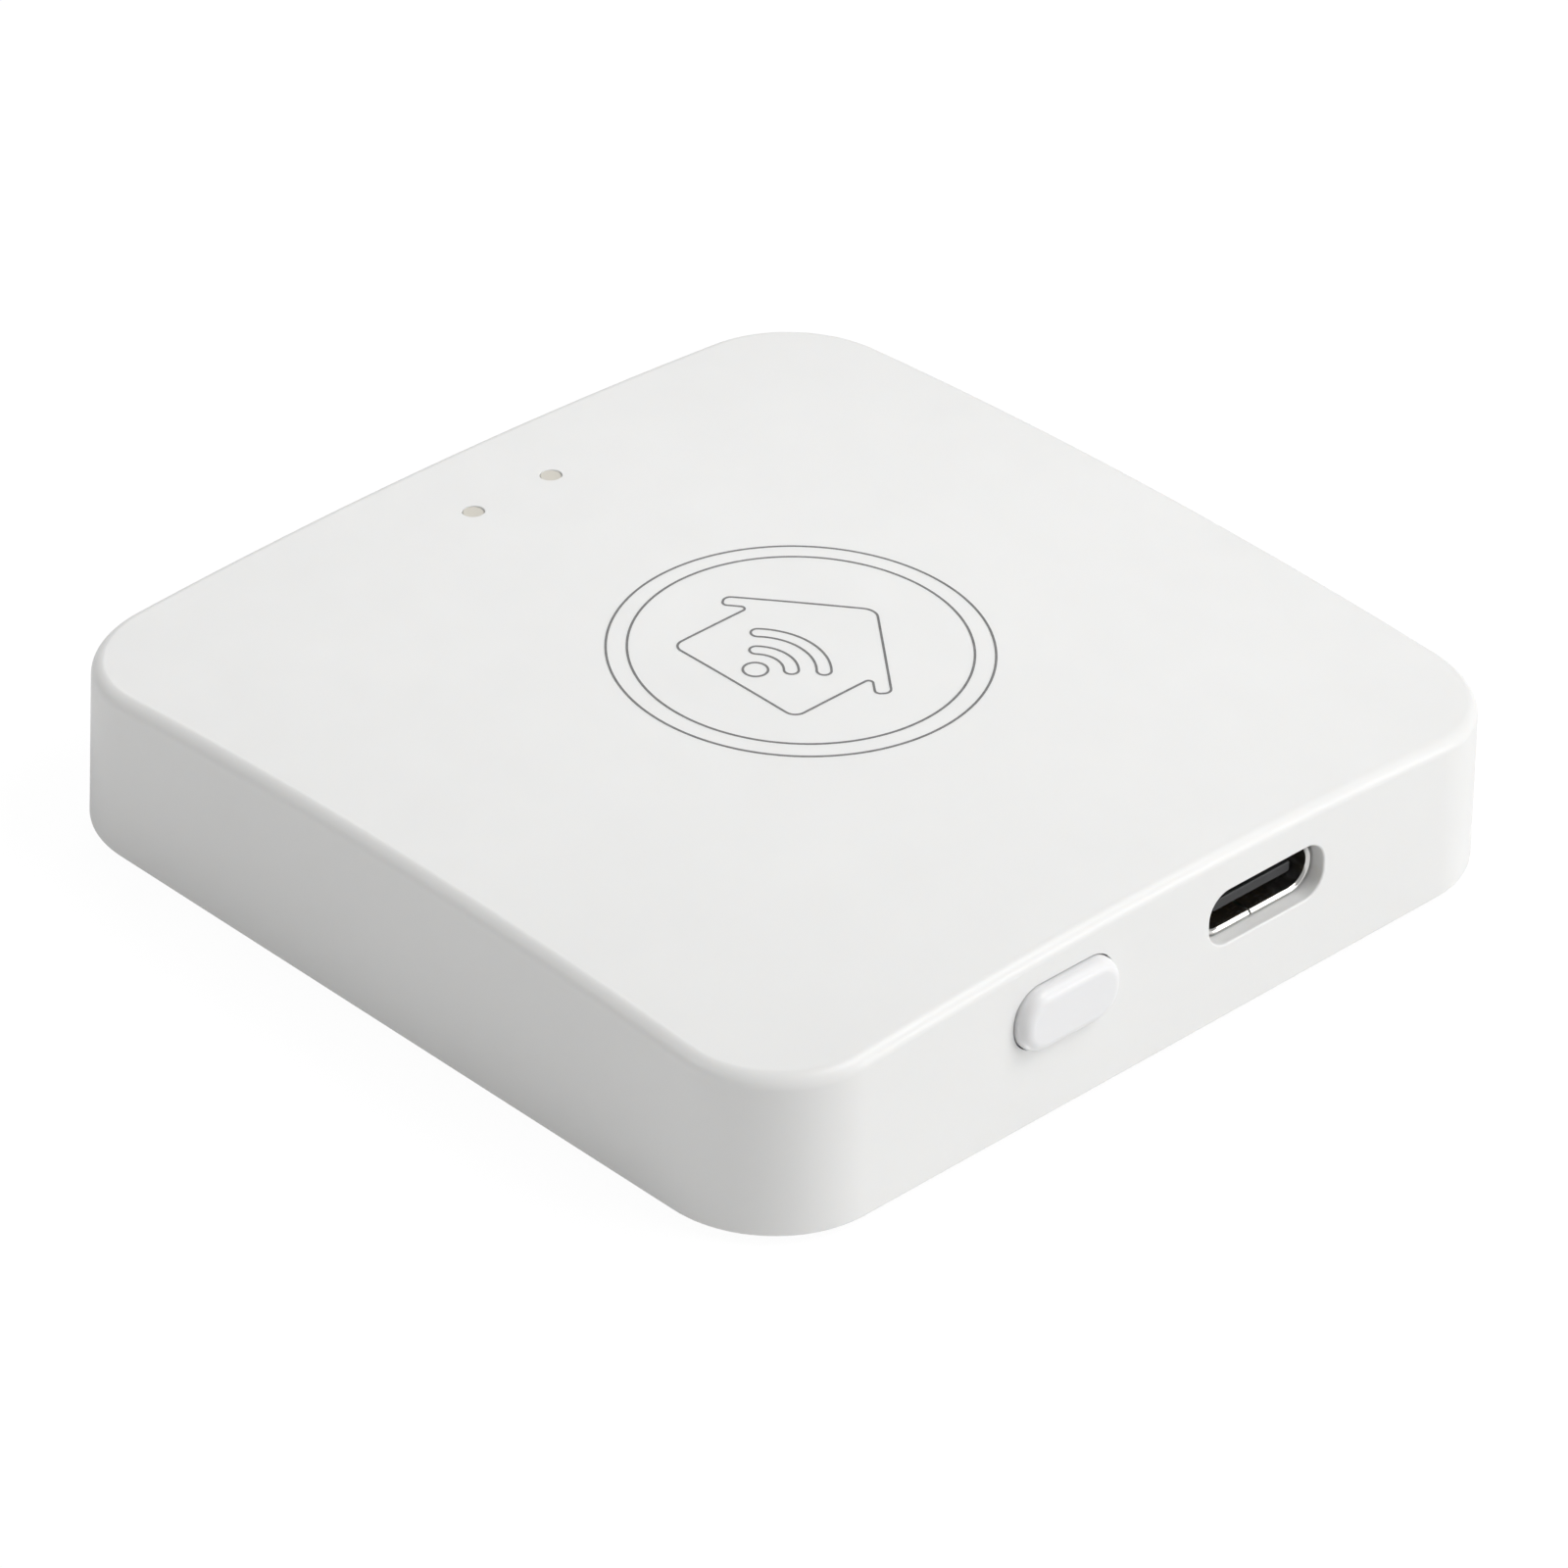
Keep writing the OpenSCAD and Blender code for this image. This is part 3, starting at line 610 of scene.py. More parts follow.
def make_socket_shell(material):
    """Rolled steel shell: rounded mouth, a seam along the bottom and four board legs."""
    skin = Skin()
    low_x = SOCKET_LOW.x
    loop = rounded_pairs(USB_W / 2, USB_H / 2, USB_H / 2 - SIDE_FLAT, corner_steps=14, side_steps=16)
    below = Vector((0, -1))

    def faces_down(pair):
        return pair[1].y < -0.999

    loop = [pair for pair in loop if not (faces_down(pair) and abs(pair[0].x - SEAM_Y) <= SEAM_W)]
    start = next(i for i, pair in enumerate(loop) if faces_down(pair) and pair[0].x > SEAM_Y)
    seam_ends = [(Vector((SEAM_Y + side * SEAM_W / 2, -USB_H / 2)), below) for side in (1, -1)]
    around = seam_ends[:1] + loop[start:] + loop[:start] + seam_ends[1:]

    # Across the wall, from outside in: a small round, a flat lip, a wide lead-in, a soft inner corner.
    # Each arc has the flat before it, its radius, its first and last angle in degrees, and its steps
    arcs = ((0.0, MOUTH_EDGE_R, 0, 90, 4), (0.039, 0.32, 105, 150, 6), (0.0, 0.05, 150, 180, 3))
    profile = [(0.0, low_x, 0)]
    offset, x = 0.0, SOCKET_HIGH.x - MOUTH_EDGE_R
    for flat, radius, first, last, steps in arcs:
        offset -= flat
        turns = [math.radians(first + (last - first) * i / steps) for i in range(steps + 1)]
        # An arc that carries on smoothly from the one before shares its first point
        joined = profile[-1] == (offset, x, turns[0])
        for turn in turns[1:] if joined else turns:
            profile.append((offset + radius * (math.cos(turn) - math.cos(turns[0])),
                            x + radius * (math.sin(turn) - math.sin(turns[0])), turn))
        offset, x, _ = profile[-1]
    profile.append((offset, low_x, math.pi))

    rows = []
    normals = []
    for offset, x, turn in profile:
        row, outward = slot_ring(skin, x, USB_Y, USB_Z, around, offset)
        rows.append(row)
        normals.append([n * math.cos(turn) + OUT * math.sin(turn) for n in outward])
    skin.strips(rows, normals, closed=False)
    skin.sharp_strip(rows[-1], rows[0], [-OUT] * len(around), closed=False)
    for column, side in ((0, -1), (-1, 1)):
        ends = [row[column] for row in rows]
        skin.face(ends, [Vector((0, side, 0))] * len(ends))

    for along, side in product(LEG_PLACES, (-1, 1)):
        x = low_x + along
        y = USB_Y + side * (USB_W - USB_T) / 2
        block(skin, (x - LEG_W / 2, y - USB_T / 2, SOCKET_LOW.z),
              (x + LEG_W / 2, y + USB_T / 2, USB_Z - LEG_ROOT))
    return skin.build("socket_steel_shell", material)


def make_tongue(material):
    """Plastic insert of the socket: a block that closes the shell and a tongue with a bevelled tip."""
    skin = Skin()
    low_x, tip_x = TONGUE_LOW.x, TONGUE_HIGH.x
    block_x = low_x + BLOCK_L
    w = TONGUE_HIGH.y - TONGUE_LOW.y
    h = TONGUE_HIGH.z - TONGUE_LOW.z
    body = rounded_pairs(w / 2, h / 2, h / 2 - SIDE_FLAT, corner_steps=12, side_steps=6)
    tongue = rounded_pairs(TONGUE_W / 2, TONGUE_T / 2, TONGUE_CORNER_R, corner_steps=4, side_steps=6)
    narrow = rounded_pairs(NECK_W / 2, NECK_T / 2, TONGUE_CORNER_R, corner_steps=4, side_steps=6)

    def ring(x, pairs):
        return slot_ring(skin, x, USB_Y, USB_Z, pairs)

    body_low, around = ring(low_x, body)
    body_high, _ = ring(block_x, body)
    root, tongue_around = ring(block_x, tongue)
    shoulder, _ = ring(tip_x - NECK_L, tongue)
    neck, _ = ring(tip_x - NECK_L, narrow)
    tip, _ = ring(tip_x - TONGUE_TIP_R, narrow)
    flat_patch(skin, [body_low], -OUT)
    skin.sharp_strip(body_low, body_high, around)
    flat_patch(skin, [body_high, root], OUT)
    skin.sharp_strip(root, shoulder, tongue_around)
    skin.sharp_strip(shoulder, neck, [OUT] * len(neck))
    skin.sharp_strip(neck, tip, tongue_around)
    rounded_front(skin, tip, tongue_around, tip_x, USB_Y, USB_Z, narrow, TONGUE_TIP_R, steps=4)
    return skin.build("socket_tongue", material)


# --- Base ------------------------------------------------------------------

FOOT_STEPS = 48
COVER_EDGE_R = 0.2
POST_R = 3.3
SCREW_HEAD_H = 1.4
COUNTERBORE_R = 2.25
SCREW_BORE_R = 1.5
FOOT_R = FEET_HIGH.x - SCREW_XY
FOOT_GAP = 0.15
FOOT_EDGE_R = 0.28
# How far in from the foot's side its flat land ends and its dished face begins
LAND_INSET = 1.1
DISH_INSET = 1.5
DISH_DEPTH = 0.12
LABEL_HALF_X = (LABEL_HIGH.x - LABEL_LOW.x) / 2
LABEL_HALF_Y = (LABEL_HIGH.y - LABEL_LOW.y) / 2
LABEL_CORNER_R = 1.0
RECESS_GAP = 0.2
RECESS_CORNER_R = 1.1
RECESS_DEPTH = 0.15


def cover_post(skin, x, y, low, high):
    """One screw's place in the cover: foot recess, counterbore, bore and the post above. Returns the rings
    that the underside and the upper side join on to."""
    heights = [(FOOT_R + FOOT_GAP, low), (FOOT_R + FOOT_GAP, FEET_HIGH.z),
               (COUNTERBORE_R, FEET_HIGH.z), (COUNTERBORE_R, SCREWS_LOW_Z + SCREW_HEAD_H),
               (SCREW_BORE_R, SCREWS_LOW_Z + SCREW_HEAD_H), (SCREW_BORE_R, COVER_HIGH.z),
               (POST_R, COVER_HIGH.z), (POST_R, high)]
    rings = [circle_ring(skin, x, y, z, r, FOOT_STEPS) for r, z in heights]
    outward = rings[0][1]
    inward = [-d for d in outward]
    down = [-UP] * FOOT_STEPS
    faces = [inward, down, inward, down, inward, [UP] * FOOT_STEPS, outward]
    for (a, _), (b, _), normals in zip(rings, rings[1:], faces):
        skin.sharp_strip(a, b, normals)
    return rings[0][0], rings[-1][0]


def make_cover(material):
    """Base cover: a plate with softened edges, four screw places and a recess for the label."""
    skin = Skin()
    low, high = CASE_Z, CASE_Z + COVER_T
    half = (COVER_HIGH.x - COVER_LOW.x) / 2
    plate = rounded_pairs(half, half, CORNER_R - CASE_W / 2 + half, corner_steps=16, side_steps=4)
    recess = rounded_pairs(LABEL_HALF_X + RECESS_GAP, LABEL_HALF_Y + RECESS_GAP, RECESS_CORNER_R,
                           corner_steps=8, side_steps=4)

    side, around = plate_ring(skin, plate, low + COVER_EDGE_R)
    top, _ = plate_ring(skin, plate, high)
    skin.sharp_strip(side, top, around)
    bottom, _ = round_edge(skin, side, around, -UP, COVER_EDGE_R, 4,
                           lambda short, inset: plate_ring(skin, plate, low + short, -inset))

    under_holes, over_holes = zip(*[cover_post(skin, x, y, low, high) for x, y in SCREW_PLACES])
    mouth, recess_around = plate_ring(skin, recess, low)
    floor, _ = plate_ring(skin, recess, low + RECESS_DEPTH)
    skin.sharp_strip(mouth, floor, [-n for n in recess_around])
    flat_patch(skin, [floor], -UP)
    flat_patch(skin, [bottom, mouth, *under_holes], -UP)
    flat_patch(skin, [top, *over_holes], UP)
    return skin.build("base_plate", material)


def foot(skin, x, y):
    """A round rubber foot with a softened edge and a slightly dished face."""
    low_z = FEET_LOW.z

    def ring(z, inset):
        return circle_ring(skin, x, y, z, FOOT_R - inset, FOOT_STEPS)

    top, around = ring(FEET_HIGH.z, 0)
    side, _ = ring(low_z + FOOT_EDGE_R, 0)
    skin.sharp_strip(top, side, around)
    flat_patch(skin, [top], UP)
    last, last_normals = round_edge(skin, side, around, -UP, FOOT_EDGE_R, 5,
                                    lambda short, inset: ring(low_z + short, inset))
    land, _ = ring(low_z, LAND_INSET)
    skin.sharp_strip(last, land, last_normals)
    dish, _ = ring(low_z + DISH_DEPTH, DISH_INSET)
    slope = DISH_DEPTH / (DISH_INSET - LAND_INSET)
    skin.sharp_strip(land, dish, [(-UP - d * slope).normalized() for d in around])
    flat_patch(skin, [dish], -UP)


def make_feet(material):
    """The four rubber feet, one over each screw."""
    skin = Skin()
    for x, y in SCREW_PLACES:
        foot(skin, x, y)
    return skin.build("rubber_foot_pads", material)


def make_label(material):
    """Blank rating label with round corners."""
    skin = Skin()
    pairs = rounded_pairs(LABEL_HALF_X, LABEL_HALF_Y, LABEL_CORNER_R, corner_steps=8, side_steps=4)
    low, around = plate_ring(skin, pairs, LABEL_LOW.z)
    high, _ = plate_ring(skin, pairs, LABEL_HIGH.z)
    skin.sharp_strip(low, high, around)
    flat_patch(skin, [low], -UP)
    flat_patch(skin, [high], UP)
    return skin.build("label_sheet", material)


# --- Printed lines ---------------------------------------------------------

def ink_line(skin, points):
    """A printed line along a closed outline of 2D points: a thin strip, half sunk in the crown."""
    sides = []
    for before, after in zip(points[-1:] + points[:-1], points[1:] + points[:1]):
        along = (after - before).normalized()
        sides.append(Vector((-along.y, along.x)))
    rows = []
    for across, raised in ((1, True), (-1, True), (-1, False), (1, False)):
        row = []
        for p, s in zip(points, sides):
            base, facing = on_crown(p + s * across * LINE_W / 2)
            row.append(base + facing * (LINE_H if raised else -LINE_H))
        rows.append(skin.add(row))
    facings = [on_crown(p)[1] for p in points]
    flat_sides = [Vector((s.x, s.y, 0)) for s in sides]
    turns = [facings, [-s for s in flat_sides], [-f for f in facings], flat_sides]
    for k in range(4):
        skin.sharp_strip(rows[k], rows[(k + 1) % 4], turns[k])


def on_crown(p):
    """The crown's point over a 2D point, and the way that it faces there."""
    z = crown_z(p.x, p.y)
    return Vector((p.x, p.y, z)), crown_normal((p.x, p.y, z))


def on_circle(centre, r, degrees):
    """The point of a circle at an angle."""
    turn = math.radians(degrees)
    return Vector((centre.x + r * math.cos(turn), centre.y + r * math.sin(turn)))


def arc(centre, r, start, end, steps):
    """Points along an arc, from one angle to another in degrees."""
    return [on_circle(centre, r, start + (end - start) * i / steps) for i in range(steps + 1)]


def softened(corners, radii, steps=8):
    """Closed outline through corners, each rounded with an arc of its own radius."""
    out = []
    n = len(corners)
    for i, c in enumerate(corners):
        a = (corners[i - 1] - c).normalized()
        b = (corners[(i + 1) % n] - c).normalized()
        half = a.angle(b) / 2
        reach = radii[i] / math.tan(half)
        centre = c + (a + b).normalized() * (radii[i] / math.sin(half))
        first = c + a * reach - centre
        last = c + b * reach - centre
        turn = math.atan2(first.x * last.y - first.y * last.x, first.dot(last))
        for k in range(steps + 1):
            s = turn * k / steps
            out.append(centre + Vector((first.x * math.cos(s) - first.y * math.sin(s),
                                        first.x * math.sin(s) + first.y * math.cos(s))))
    return out


def divided(points, longest=0.8):
    """The same closed outline with its long straight stretches divided, so that it follows the crown."""
    out = []
    for a, b in zip(points, points[1:] + points[:1]):
        count = max(1, math.ceil((b - a).length / longest))
        out += [a.lerp(b, i / count) for i in range(count)]
    return out


def house_outline():
    """A plain house with a roof that overhangs its walls, about the origin."""
    half, base, eaves, apex, over = (size * MARK_SCALE for size in (4.3, -4.6, 0.9, 5.2, 1.1))
    roof_t = 1.0
    tip_x, tip_y = 0.55 * roof_t, 0.75 * roof_t
    slope = (apex - eaves) / (half + over)
    drop = roof_t * math.hypot(1, slope)
    wall_top = eaves + slope * over - drop
    right = [Vector((half, base)), Vector((half, wall_top)), Vector((half + over, eaves - drop)),
             Vector((half + over + tip_x, eaves - drop + tip_y))]
    left = [Vector((-p.x, p.y)) for p in reversed(right)]
    radii = [0.7, 0.25, 0.3, 0.45]
    return divided(softened(right + [Vector((0, apex))] + left, radii + [0.9] + radii[::-1]))


def signal_band(source, r):
    """One band of the signal mark, with round ends."""
    width = BAND_W * MARK_SCALE
    first, last = 90 - BAND_SPREAD, 90 + BAND_SPREAD
    band = arc(source, r + width / 2, first, last, 28)
    band += arc(on_circle(source, r, last), width / 2, last, last + 180, 12)[1:-1]
    band += arc(source, r - width / 2, last, first, 28)
    band += arc(on_circle(source, r, first), width / 2, first + 180, first + 360, 12)[1:-1]
    return band


def make_emblem(material):
    """Printed mark on the crown: two rings round a plain house outline with signal bands under its roof."""
    skin = Skin()
    centre = Vector((EMBLEM_X, EMBLEM_Y))
    for r in RING_RADII:
        ink_line(skin, arc(centre, r, 0, 360, 180)[:-1])
    ink_line(skin, [centre + p for p in house_outline()])
    source = centre + Vector((0, -SOURCE_DROP * MARK_SCALE))
    ink_line(skin, arc(source, SOURCE_R * MARK_SCALE, 0, 360, 36)[:-1])
    for r in BAND_RADII:
        ink_line(skin, signal_band(source, r * MARK_SCALE))
    return skin.build("emblem_print", material)


# --- Materials -------------------------------------------------------------

class Nodes:
    """Short calls for building a material's nodes."""

    def __init__(self, name):
        self.material = bpy.data.materials.new(name)
        self.material.use_nodes = True
        self.tree = self.material.node_tree
        self.shader = self.tree.nodes["Principled BSDF"]
        self.place = self.new("ShaderNodeTexCoord").outputs["Object"]

    def new(self, kind, **settings):
        node = self.tree.nodes.new(kind)
        for key, value in settings.items():
            setattr(node, key, value)
        return node

    def link(self, output, socket):
        self.tree.links.new(output, socket)

    def set(self, **values):
        """Sets the shader's own sockets, with underscores for the spaces in their names."""
        for key, value in values.items():
            self.shader.inputs[key.replace("_", " ")].default_value = value

    def noise(self, size_mm, detail):
        """Noise whose features are about size_mm across, from 0 to 1."""
        node = self.new("ShaderNodeTexNoise")
        self.link(self.place, node.inputs["Vector"])
        node.inputs["Scale"].default_value = 1 / (size_mm * MM)
        node.inputs["Detail"].default_value = detail
        return node.outputs["Fac"]

    def cells(self, size_mm):
        """Distance from scattered points that are about size_mm apart, and each cell's random colour."""
        node = self.new("ShaderNodeTexVoronoi")
        self.link(self.place, node.inputs["Vector"])
        node.inputs["Scale"].default_value = 1 / (size_mm * MM)
        return node.outputs["Distance"], node.outputs["Color"]

    def ramp(self, value, low, high, out_low=0.0, out_high=1.0):
        """Maps low..high to out_low..out_high, clamped."""
        node = self.new("ShaderNodeMapRange")
        self.link(value, node.inputs["Value"])
        for key, number in (("From Min", low), ("From Max", high), ("To Min", out_low), ("To Max", out_high)):
            node.inputs[key].default_value = number
        return node.outputs["Result"]

    def math(self, operation, a, b):
        node = self.new("ShaderNodeMath", operation=operation)
        for socket, value in zip(node.inputs, (a, b)):
            if isinstance(value, (int, float)):
                socket.default_value = value
            else:
                self.link(value, socket)
        return node.outputs[0]

    def mix(self, factor, a, b):
        """Mix of two colours; each is a tuple or another node's output."""
        node = self.new("ShaderNodeMix", data_type="RGBA")
        self.link(factor, node.inputs[0])
        for socket, value in ((node.inputs[6], a), (node.inputs[7], b)):
            if isinstance(value, tuple):
                socket.default_value = value + (1.0,)
            else:
                self.link(value, socket)
        return node.outputs[2]

    def bump(self, height, depth_mm, strength=1.0):
        """Adds a bump of that depth on top of any bump made before."""
        node = self.new("ShaderNodeBump")
        node.inputs["Strength"].default_value = strength
        node.inputs["Distance"].default_value = depth_mm * MM
        self.link(height, node.inputs["Height"])
        before = self.shader.inputs["Normal"].links
        if before:
            self.link(before[0].from_socket, node.inputs["Normal"])
        self.link(node.outputs["Normal"], self.shader.inputs["Normal"])

    def colour(self, value):
        self.link(value, self.shader.inputs["Base Color"])

    def roughness(self, value):
        self.link(value, self.shader.inputs["Roughness"])

    def mottled(self, tint, size_mm, detail, low, high, span=(0.3, 0.7)):
        """Patches of colour about size_mm across, from low to high times the tint."""
        share = self.ramp(self.noise(size_mm, detail), *span)
        return self.mix(share, tuple(c * low for c in tint), tuple(c * high for c in tint))

    def sheen(self, size_mm, detail, low, high, span=(0.3, 0.7)):
        """Roughness that wanders from low to high, in patches about size_mm across."""
        self.roughness(self.ramp(self.noise(size_mm, detail), *span, low, high))


def white_plastic(name, tint, roughness, specks=True, grain_mm=0.25, grain_depth=0.0006):
    """Injection-moulded white ABS: faint flow mottling, satin micro-grain and a few dust specks."""
    m = Nodes(name)
    m.set(IOR=1.5, Subsurface_Weight=0.2, Subsurface_Scale=0.0006, Subsurface_Radius=(1.0, 0.85, 0.7))
    base = m.mottled(tint, 9, 3, 0.985, 1)
    if specks:
        distance, random = m.cells(5.5)
        split = m.new("ShaderNodeSeparateColor")
        m.link(random, split.inputs["Color"])
        chosen = m.math("GREATER_THAN", split.outputs["Red"], 0.8)
        near = m.ramp(distance, 0.007, 0.012, 1, 0)
        speck = m.math("MULTIPLY", chosen, near)
        base = m.mix(m.math("MULTIPLY", speck, 0.8), base, (0.14, 0.13, 0.12))
    m.colour(base)
    m.sheen(3, 4, roughness - 0.03, roughness + 0.04, (0.25, 0.75))
    m.bump(m.noise(grain_mm, 2), grain_depth)
    return m.material


def metal(name, tint, roughness):
    """Plated or rolled metal: fine drawn lines along Y and uneven sheen."""
    m = Nodes(name)
    m.set(Metallic=1.0)
    stretch = m.new("ShaderNodeMapping")
    m.link(m.place, stretch.inputs["Vector"])
    stretch.inputs["Scale"].default_value = tuple(1 / (size * MM) for size in (0.02, 0.6, 0.02))
    lines = m.new("ShaderNodeTexNoise")
    m.link(stretch.outputs["Vector"], lines.inputs["Vector"])
    lines.inputs["Scale"].default_value = 1
    lines.inputs["Detail"].default_value = 2
    m.colour(m.mottled(tint, 1.2, 3, 0.9, 1))
    m.roughness(m.ramp(lines.outputs["Fac"], 0.3, 0.7, roughness - 0.05, roughness + 0.08))
    m.bump(lines.outputs["Fac"], 0.0004)
    return m.material


def dull(name, tint, roughness, grain_mm, depth, contrast=0.12):
    """Any matt moulded or pressed stuff: mottled colour, uneven sheen and a grain."""
    m = Nodes(name)
    m.set(IOR=1.48)
    m.colour(m.mottled(tint, grain_mm * 12, 3, 1 - contrast, 1))
    m.sheen(grain_mm * 6, 3, roughness - 0.05, roughness + 0.05)
    m.bump(m.noise(grain_mm, 3), depth)
    return m.material


def board(name, mask, line):
    """Solder mask over copper: a glossy lacquer with rows of fine tracks under it and a faint weave."""
    m = Nodes(name)
    m.set(IOR=1.5)
    tracks = m.new("ShaderNodeTexBrick")
    m.link(m.place, tracks.inputs["Vector"])
    tracks.inputs["Scale"].default_value = 1 / (3.2 * MM)
    tracks.inputs["Mortar Size"].default_value = 0.05
    tracks.inputs["Mortar Smooth"].default_value = 0.3
    m.colour(m.mix(tracks.outputs["Fac"], m.mottled(mask, 6, 3, 0.8, 1), line))
    m.sheen(1.5, 3, 0.25, 0.4)
    m.bump(tracks.outputs["Fac"], 0.02, 0.5)
    m.bump(m.noise(0.3, 2), 0.002)
    return m.material


def ink(name, tint):
    """Thin pad-printed ink: slightly uneven cover over the plastic."""
    m = Nodes(name)
    m.set(IOR=1.45)
    m.colour(m.mottled(tint, 0.35, 3, 1, 1.35, (0.35, 0.75)))
    m.sheen(0.5, 2, 0.4, 0.55)
    return m.material


def rubber(name, tint):
    """Black-grey silicone rubber: dusty, with a fine pebble."""
    m = Nodes(name)
    m.set(IOR=1.45, Specular_IOR_Level=0.3)
    m.colour(m.mottled(tint, 1.8, 4, 1, 1.5, (0.35, 0.7)))
    m.sheen(0.8, 3, 0.65, 0.85)
    m.bump(m.noise(0.12, 2), 0.006)
    return m.material


def paper(name, tint):
    """Matt synthetic label stock with faint fibres."""
    m = Nodes(name)
    m.set(IOR=1.4)
    m.colour(m.mottled(tint, 0.5, 5, 0.95, 1, (0.35, 0.7)))
    m.sheen(0.4, 3, 0.5, 0.62)
    m.bump(m.noise(0.1, 3), 0.001)
    return m.material


# --- Camera, floor and light -----------------------------------------------

# In metres
FLOOR_HALF = 6.0
LAMP_DISTANCE = 2.4

GLOW = 1.05
GLOW_SHARE = 0.9
WORLD_STRENGTH = 0.41


def make_camera():
    """The camera, at the angle that the object is seen from."""
    azimuth, elevation, roll = (math.radians(a) for a in (44.9026, 33.3479, 1.8334))
    distance = 485.29
    aside, above = 0.216, 2.483
    back = Vector((math.sin(azimuth) * math.cos(elevation), -math.cos(azimuth) * math.cos(elevation),
                   math.sin(elevation)))
    right = Vector((math.cos(azimuth), math.sin(azimuth), 0))
    up = back.cross(right)
    x_axis = right * math.cos(roll) + up * math.sin(roll)
    y_axis = up * math.cos(roll) - right * math.sin(roll)
    place = x_axis * aside + y_axis * above + back * distance + UP * CASE_Z
    camera = bpy.data.objects.new("camera", bpy.data.cameras.new("camera"))
    bpy.context.collection.objects.link(camera)
    camera.data.sensor_width = 36
    camera.data.lens = 195.14
    camera.data.clip_start, camera.data.clip_end = 0.01, 20
    camera.matrix_world = Matrix((
        (x_axis.x, y_axis.x, back.x, place.x * MM),
        (x_axis.y, y_axis.y, back.y, place.y * MM),
        (x_axis.z, y_axis.z, back.z, place.z * MM),
        (0, 0, 0, 1)))
    bpy.context.scene.camera = camera


def make_floor():
    """A plain floor that glows white for the camera. It is clear from below, so that the base can be seen."""
    mesh = bpy.data.meshes.new("floor")
    corners = [(x * FLOOR_HALF, y * FLOOR_HALF, 0) for x, y in ((-1, -1), (1, -1), (1, 1), (-1, 1))]
    mesh.from_pydata(corners, [], [(0, 1, 2, 3)])
    m = Nodes("floor_white")
    m.set(Roughness=0.9, Specular_IOR_Level=0.0)
    m.shader.inputs["Base Color"].default_value = (0.8, 0.8, 0.8, 1)
    glow = m.new("ShaderNodeEmission")
    glow.inputs["Strength"].default_value = GLOW
    path = m.new("ShaderNodeLightPath")
    share = m.math("MULTIPLY", path.outputs["Is Camera Ray"], GLOW_SHARE)
    mix = m.new("ShaderNodeMixShader")
    m.link(share, mix.inputs[0])
    m.link(m.shader.outputs[0], mix.inputs[1])
    m.link(glow.outputs[0], mix.inputs[2])
    clear = m.new("ShaderNodeBsdfTransparent")
    sides = m.new("ShaderNodeMixShader")
    m.link(m.new("ShaderNodeNewGeometry").outputs["Backfacing"], sides.inputs[0])
    m.link(mix.outputs[0], sides.inputs[1])
    m.link(clear.outputs[0], sides.inputs[2])
    m.link(sides.outputs[0], m.tree.nodes["Material Output"].inputs["Surface"])
    mesh.materials.append(m.material)
    floor = bpy.data.objects.new("floor", mesh)
    bpy.context.collection.objects.link(floor)
    return floor


def soft_box(name, direction, size, power):
    """A square lamp that faces the object from a direction."""
    lamp = bpy.data.lights.new(name, "AREA")
    lamp.size = size
    lamp.energy = power
    box = bpy.data.objects.new(name, lamp)
    bpy.context.collection.objects.link(box)
    way = Vector(direction).normalized()
    box.location = way * LAMP_DISTANCE
    box.rotation_mode = "QUATERNION"
    box.rotation_quaternion = way.to_track_quat("Z", "Y")
    return box


def shine_through(lamp, floor):
    """Lets one lamp's light pass the floor, which still stops the other lamps."""
    blockers = bpy.data.collections.new(lamp.name + "_blockers")
    blockers.objects.link(floor)
    for entry in blockers.collection_objects:
        entry.light_linking.link_state = "EXCLUDE"
    lamp.light_linking.blocker_collection = blockers


def make_light(floor):
    """A plain soft studio, and a lamp under the floor that lights the underside."""
    scene = bpy.context.scene
    scene.view_settings.view_transform = "Standard"
    world = bpy.data.worlds.new("studio")
    world.use_nodes = True
    background = world.node_tree.nodes["Background"].inputs
    background["Color"].default_value = (1, 1, 1, 1)
    background["Strength"].default_value = WORLD_STRENGTH
    scene.world = world
    soft_box("low_key", (0.79, 0.62, 0.12), 1.2, 22.5)
    soft_box("high_key", (0.79, 0.62, 1.3), 1.2, 30)
    soft_box("side_fill", (-0.5, -1, 0.7), 1.2, 6)
    soft_box("back_fill", (-1, 0.9, 0.9), 1.4, 11)
    shine_through(soft_box("under_fill", (0, 0, -1), 0.4, 8), floor)


# --- Assembly --------------------------------------------------------------

make_camera()
make_light(make_floor())

CASE_WHITE = (0.8, 0.8, 0.79)
BUTTON_WHITE = (0.8, 0.8, 0.805)
COVER_WHITE = (0.76, 0.76, 0.75)

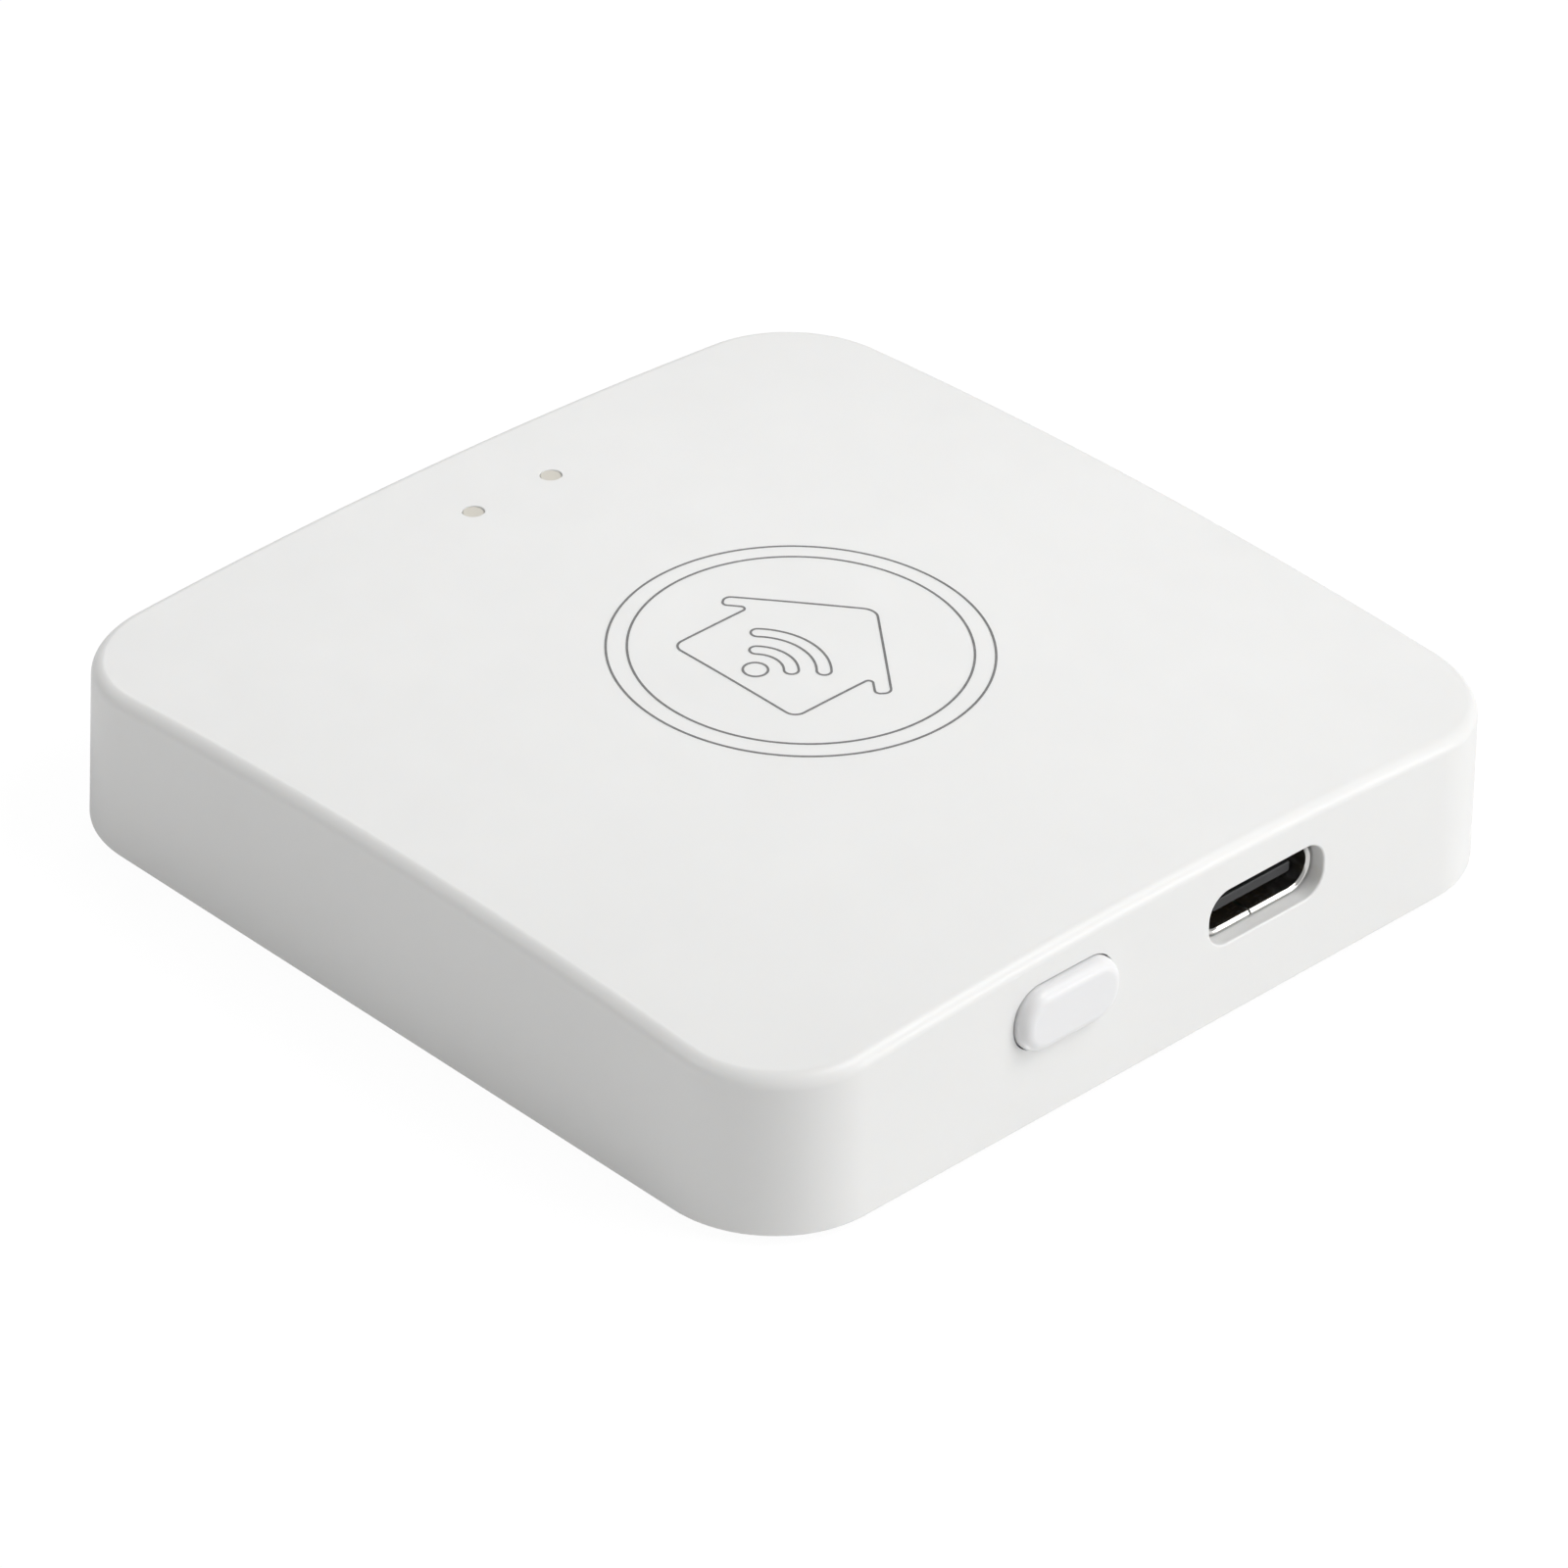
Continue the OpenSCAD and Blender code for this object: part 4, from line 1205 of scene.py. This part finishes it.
MATERIALS = {
    "case_plastic": white_plastic("white_abs", CASE_WHITE, 0.36),
    "button_plastic": white_plastic("button_abs", BUTTON_WHITE, 0.36, specks=False),
    "cover_plastic": white_plastic("cover_abs", COVER_WHITE, 0.5, grain_mm=0.18, grain_depth=0.004),
    "screw_steel": metal("zinc_steel", (0.6, 0.6, 0.58), 0.35),
    "foot_rubber": rubber("foot_rubber_grey", (0.045, 0.045, 0.045)),
    "label_paper": paper("label_stock", (0.78, 0.78, 0.77)),
    "board_green": board("green_board", (0.015, 0.12, 0.045), (0.03, 0.2, 0.08)),
    "module_board": board("blue_board", (0.008, 0.018, 0.05), (0.02, 0.045, 0.12)),
    "shield_metal": metal("tinned_shield", (0.72, 0.72, 0.7), 0.32),
    "socket_steel": metal("socket_plated", (0.78, 0.77, 0.75), 0.2),
    "tongue_plastic": dull("tongue_lcp", (0.022, 0.023, 0.025), 0.4, 0.06, 0.002),
    "contact_gold": metal("gold_plate", (0.85, 0.62, 0.28), 0.18),
    "trace_gold": metal("gold_trace", (0.8, 0.58, 0.27), 0.3),
    "switch_plastic": dull("switch_nylon", (0.03, 0.03, 0.03), 0.5, 0.08, 0.002),
    "switch_steel": metal("switch_tin", (0.7, 0.7, 0.7), 0.3),
    "dome_steel": metal("dome_spring_steel", (0.75, 0.75, 0.74), 0.15),
    "plunger_plastic": dull("plunger_pom", (0.7, 0.68, 0.62), 0.4, 0.08, 0.001, 0.05),
    "led_resin": dull("led_silicone", (0.8, 0.72, 0.4), 0.2, 0.1, 0.0005, 0.06),
    "baffle_foam": dull("baffle_foam_black", (0.02, 0.02, 0.02), 0.85, 0.15, 0.03),
    # Painted shade: the light guide is tinted darker than the case, so its tip at the bottom of the pinhole
    # shows the hole's shade as colour. Only the warm tone is the diffuser's own.
    "guide_plastic": white_plastic("guide_diffuser_painted_shade", (0.62, 0.59, 0.52), 0.45, specks=False),
    "chip_plastic": dull("chip_epoxy", (0.022, 0.022, 0.024), 0.55, 0.05, 0.002),
    "inductor_ferrite": dull("ferrite", (0.1, 0.1, 0.105), 0.6, 0.08, 0.004),
    "fuse_ceramic": dull("fuse_green", (0.05, 0.2, 0.08), 0.35, 0.08, 0.001),
    "crystal_can": metal("crystal_nickel", (0.75, 0.73, 0.68), 0.2),
    "capacitor_ceramic": dull("capacitor_tan", (0.4, 0.28, 0.16), 0.5, 0.06, 0.002),
    "resistor_ceramic": dull("resistor_black", (0.03, 0.03, 0.035), 0.4, 0.05, 0.001),
}

# Detailed pieces: the function that makes each, its body, the CAD node that it replaces, its material slot
PIECES = [
    (make_shell, "housing", "top_shell", "case_plastic"),
    (make_button, "button", "side_button", "button_plastic"),
    (make_socket_shell, "housing", "usb_shell", "socket_steel"),
    (make_tongue, "housing", "usb_tongue", "tongue_plastic"),
    (make_cover, "housing", "base_cover", "cover_plastic"),
    (make_feet, "housing", "rubber_feet", "foot_rubber"),
    (make_label, "housing", "rating_label", "label_paper"),
]
for make, body, node, slot in PIECES:
    piece = make(MATERIALS[slot])
    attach(piece, body)
    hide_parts(node)

emblem = make_emblem(ink("grey_ink", (0.14, 0.14, 0.14)))
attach(emblem, "housing")

# The CAD nodes take their slots' materials. Those that a piece replaces stay hidden
for part in frame["record"]["subparts"]:
    holder = frame["nodes"][part["node"]]
    for material_slot in holder.material_slots:
        material_slot.material = MATERIALS[part["material_slot"]]
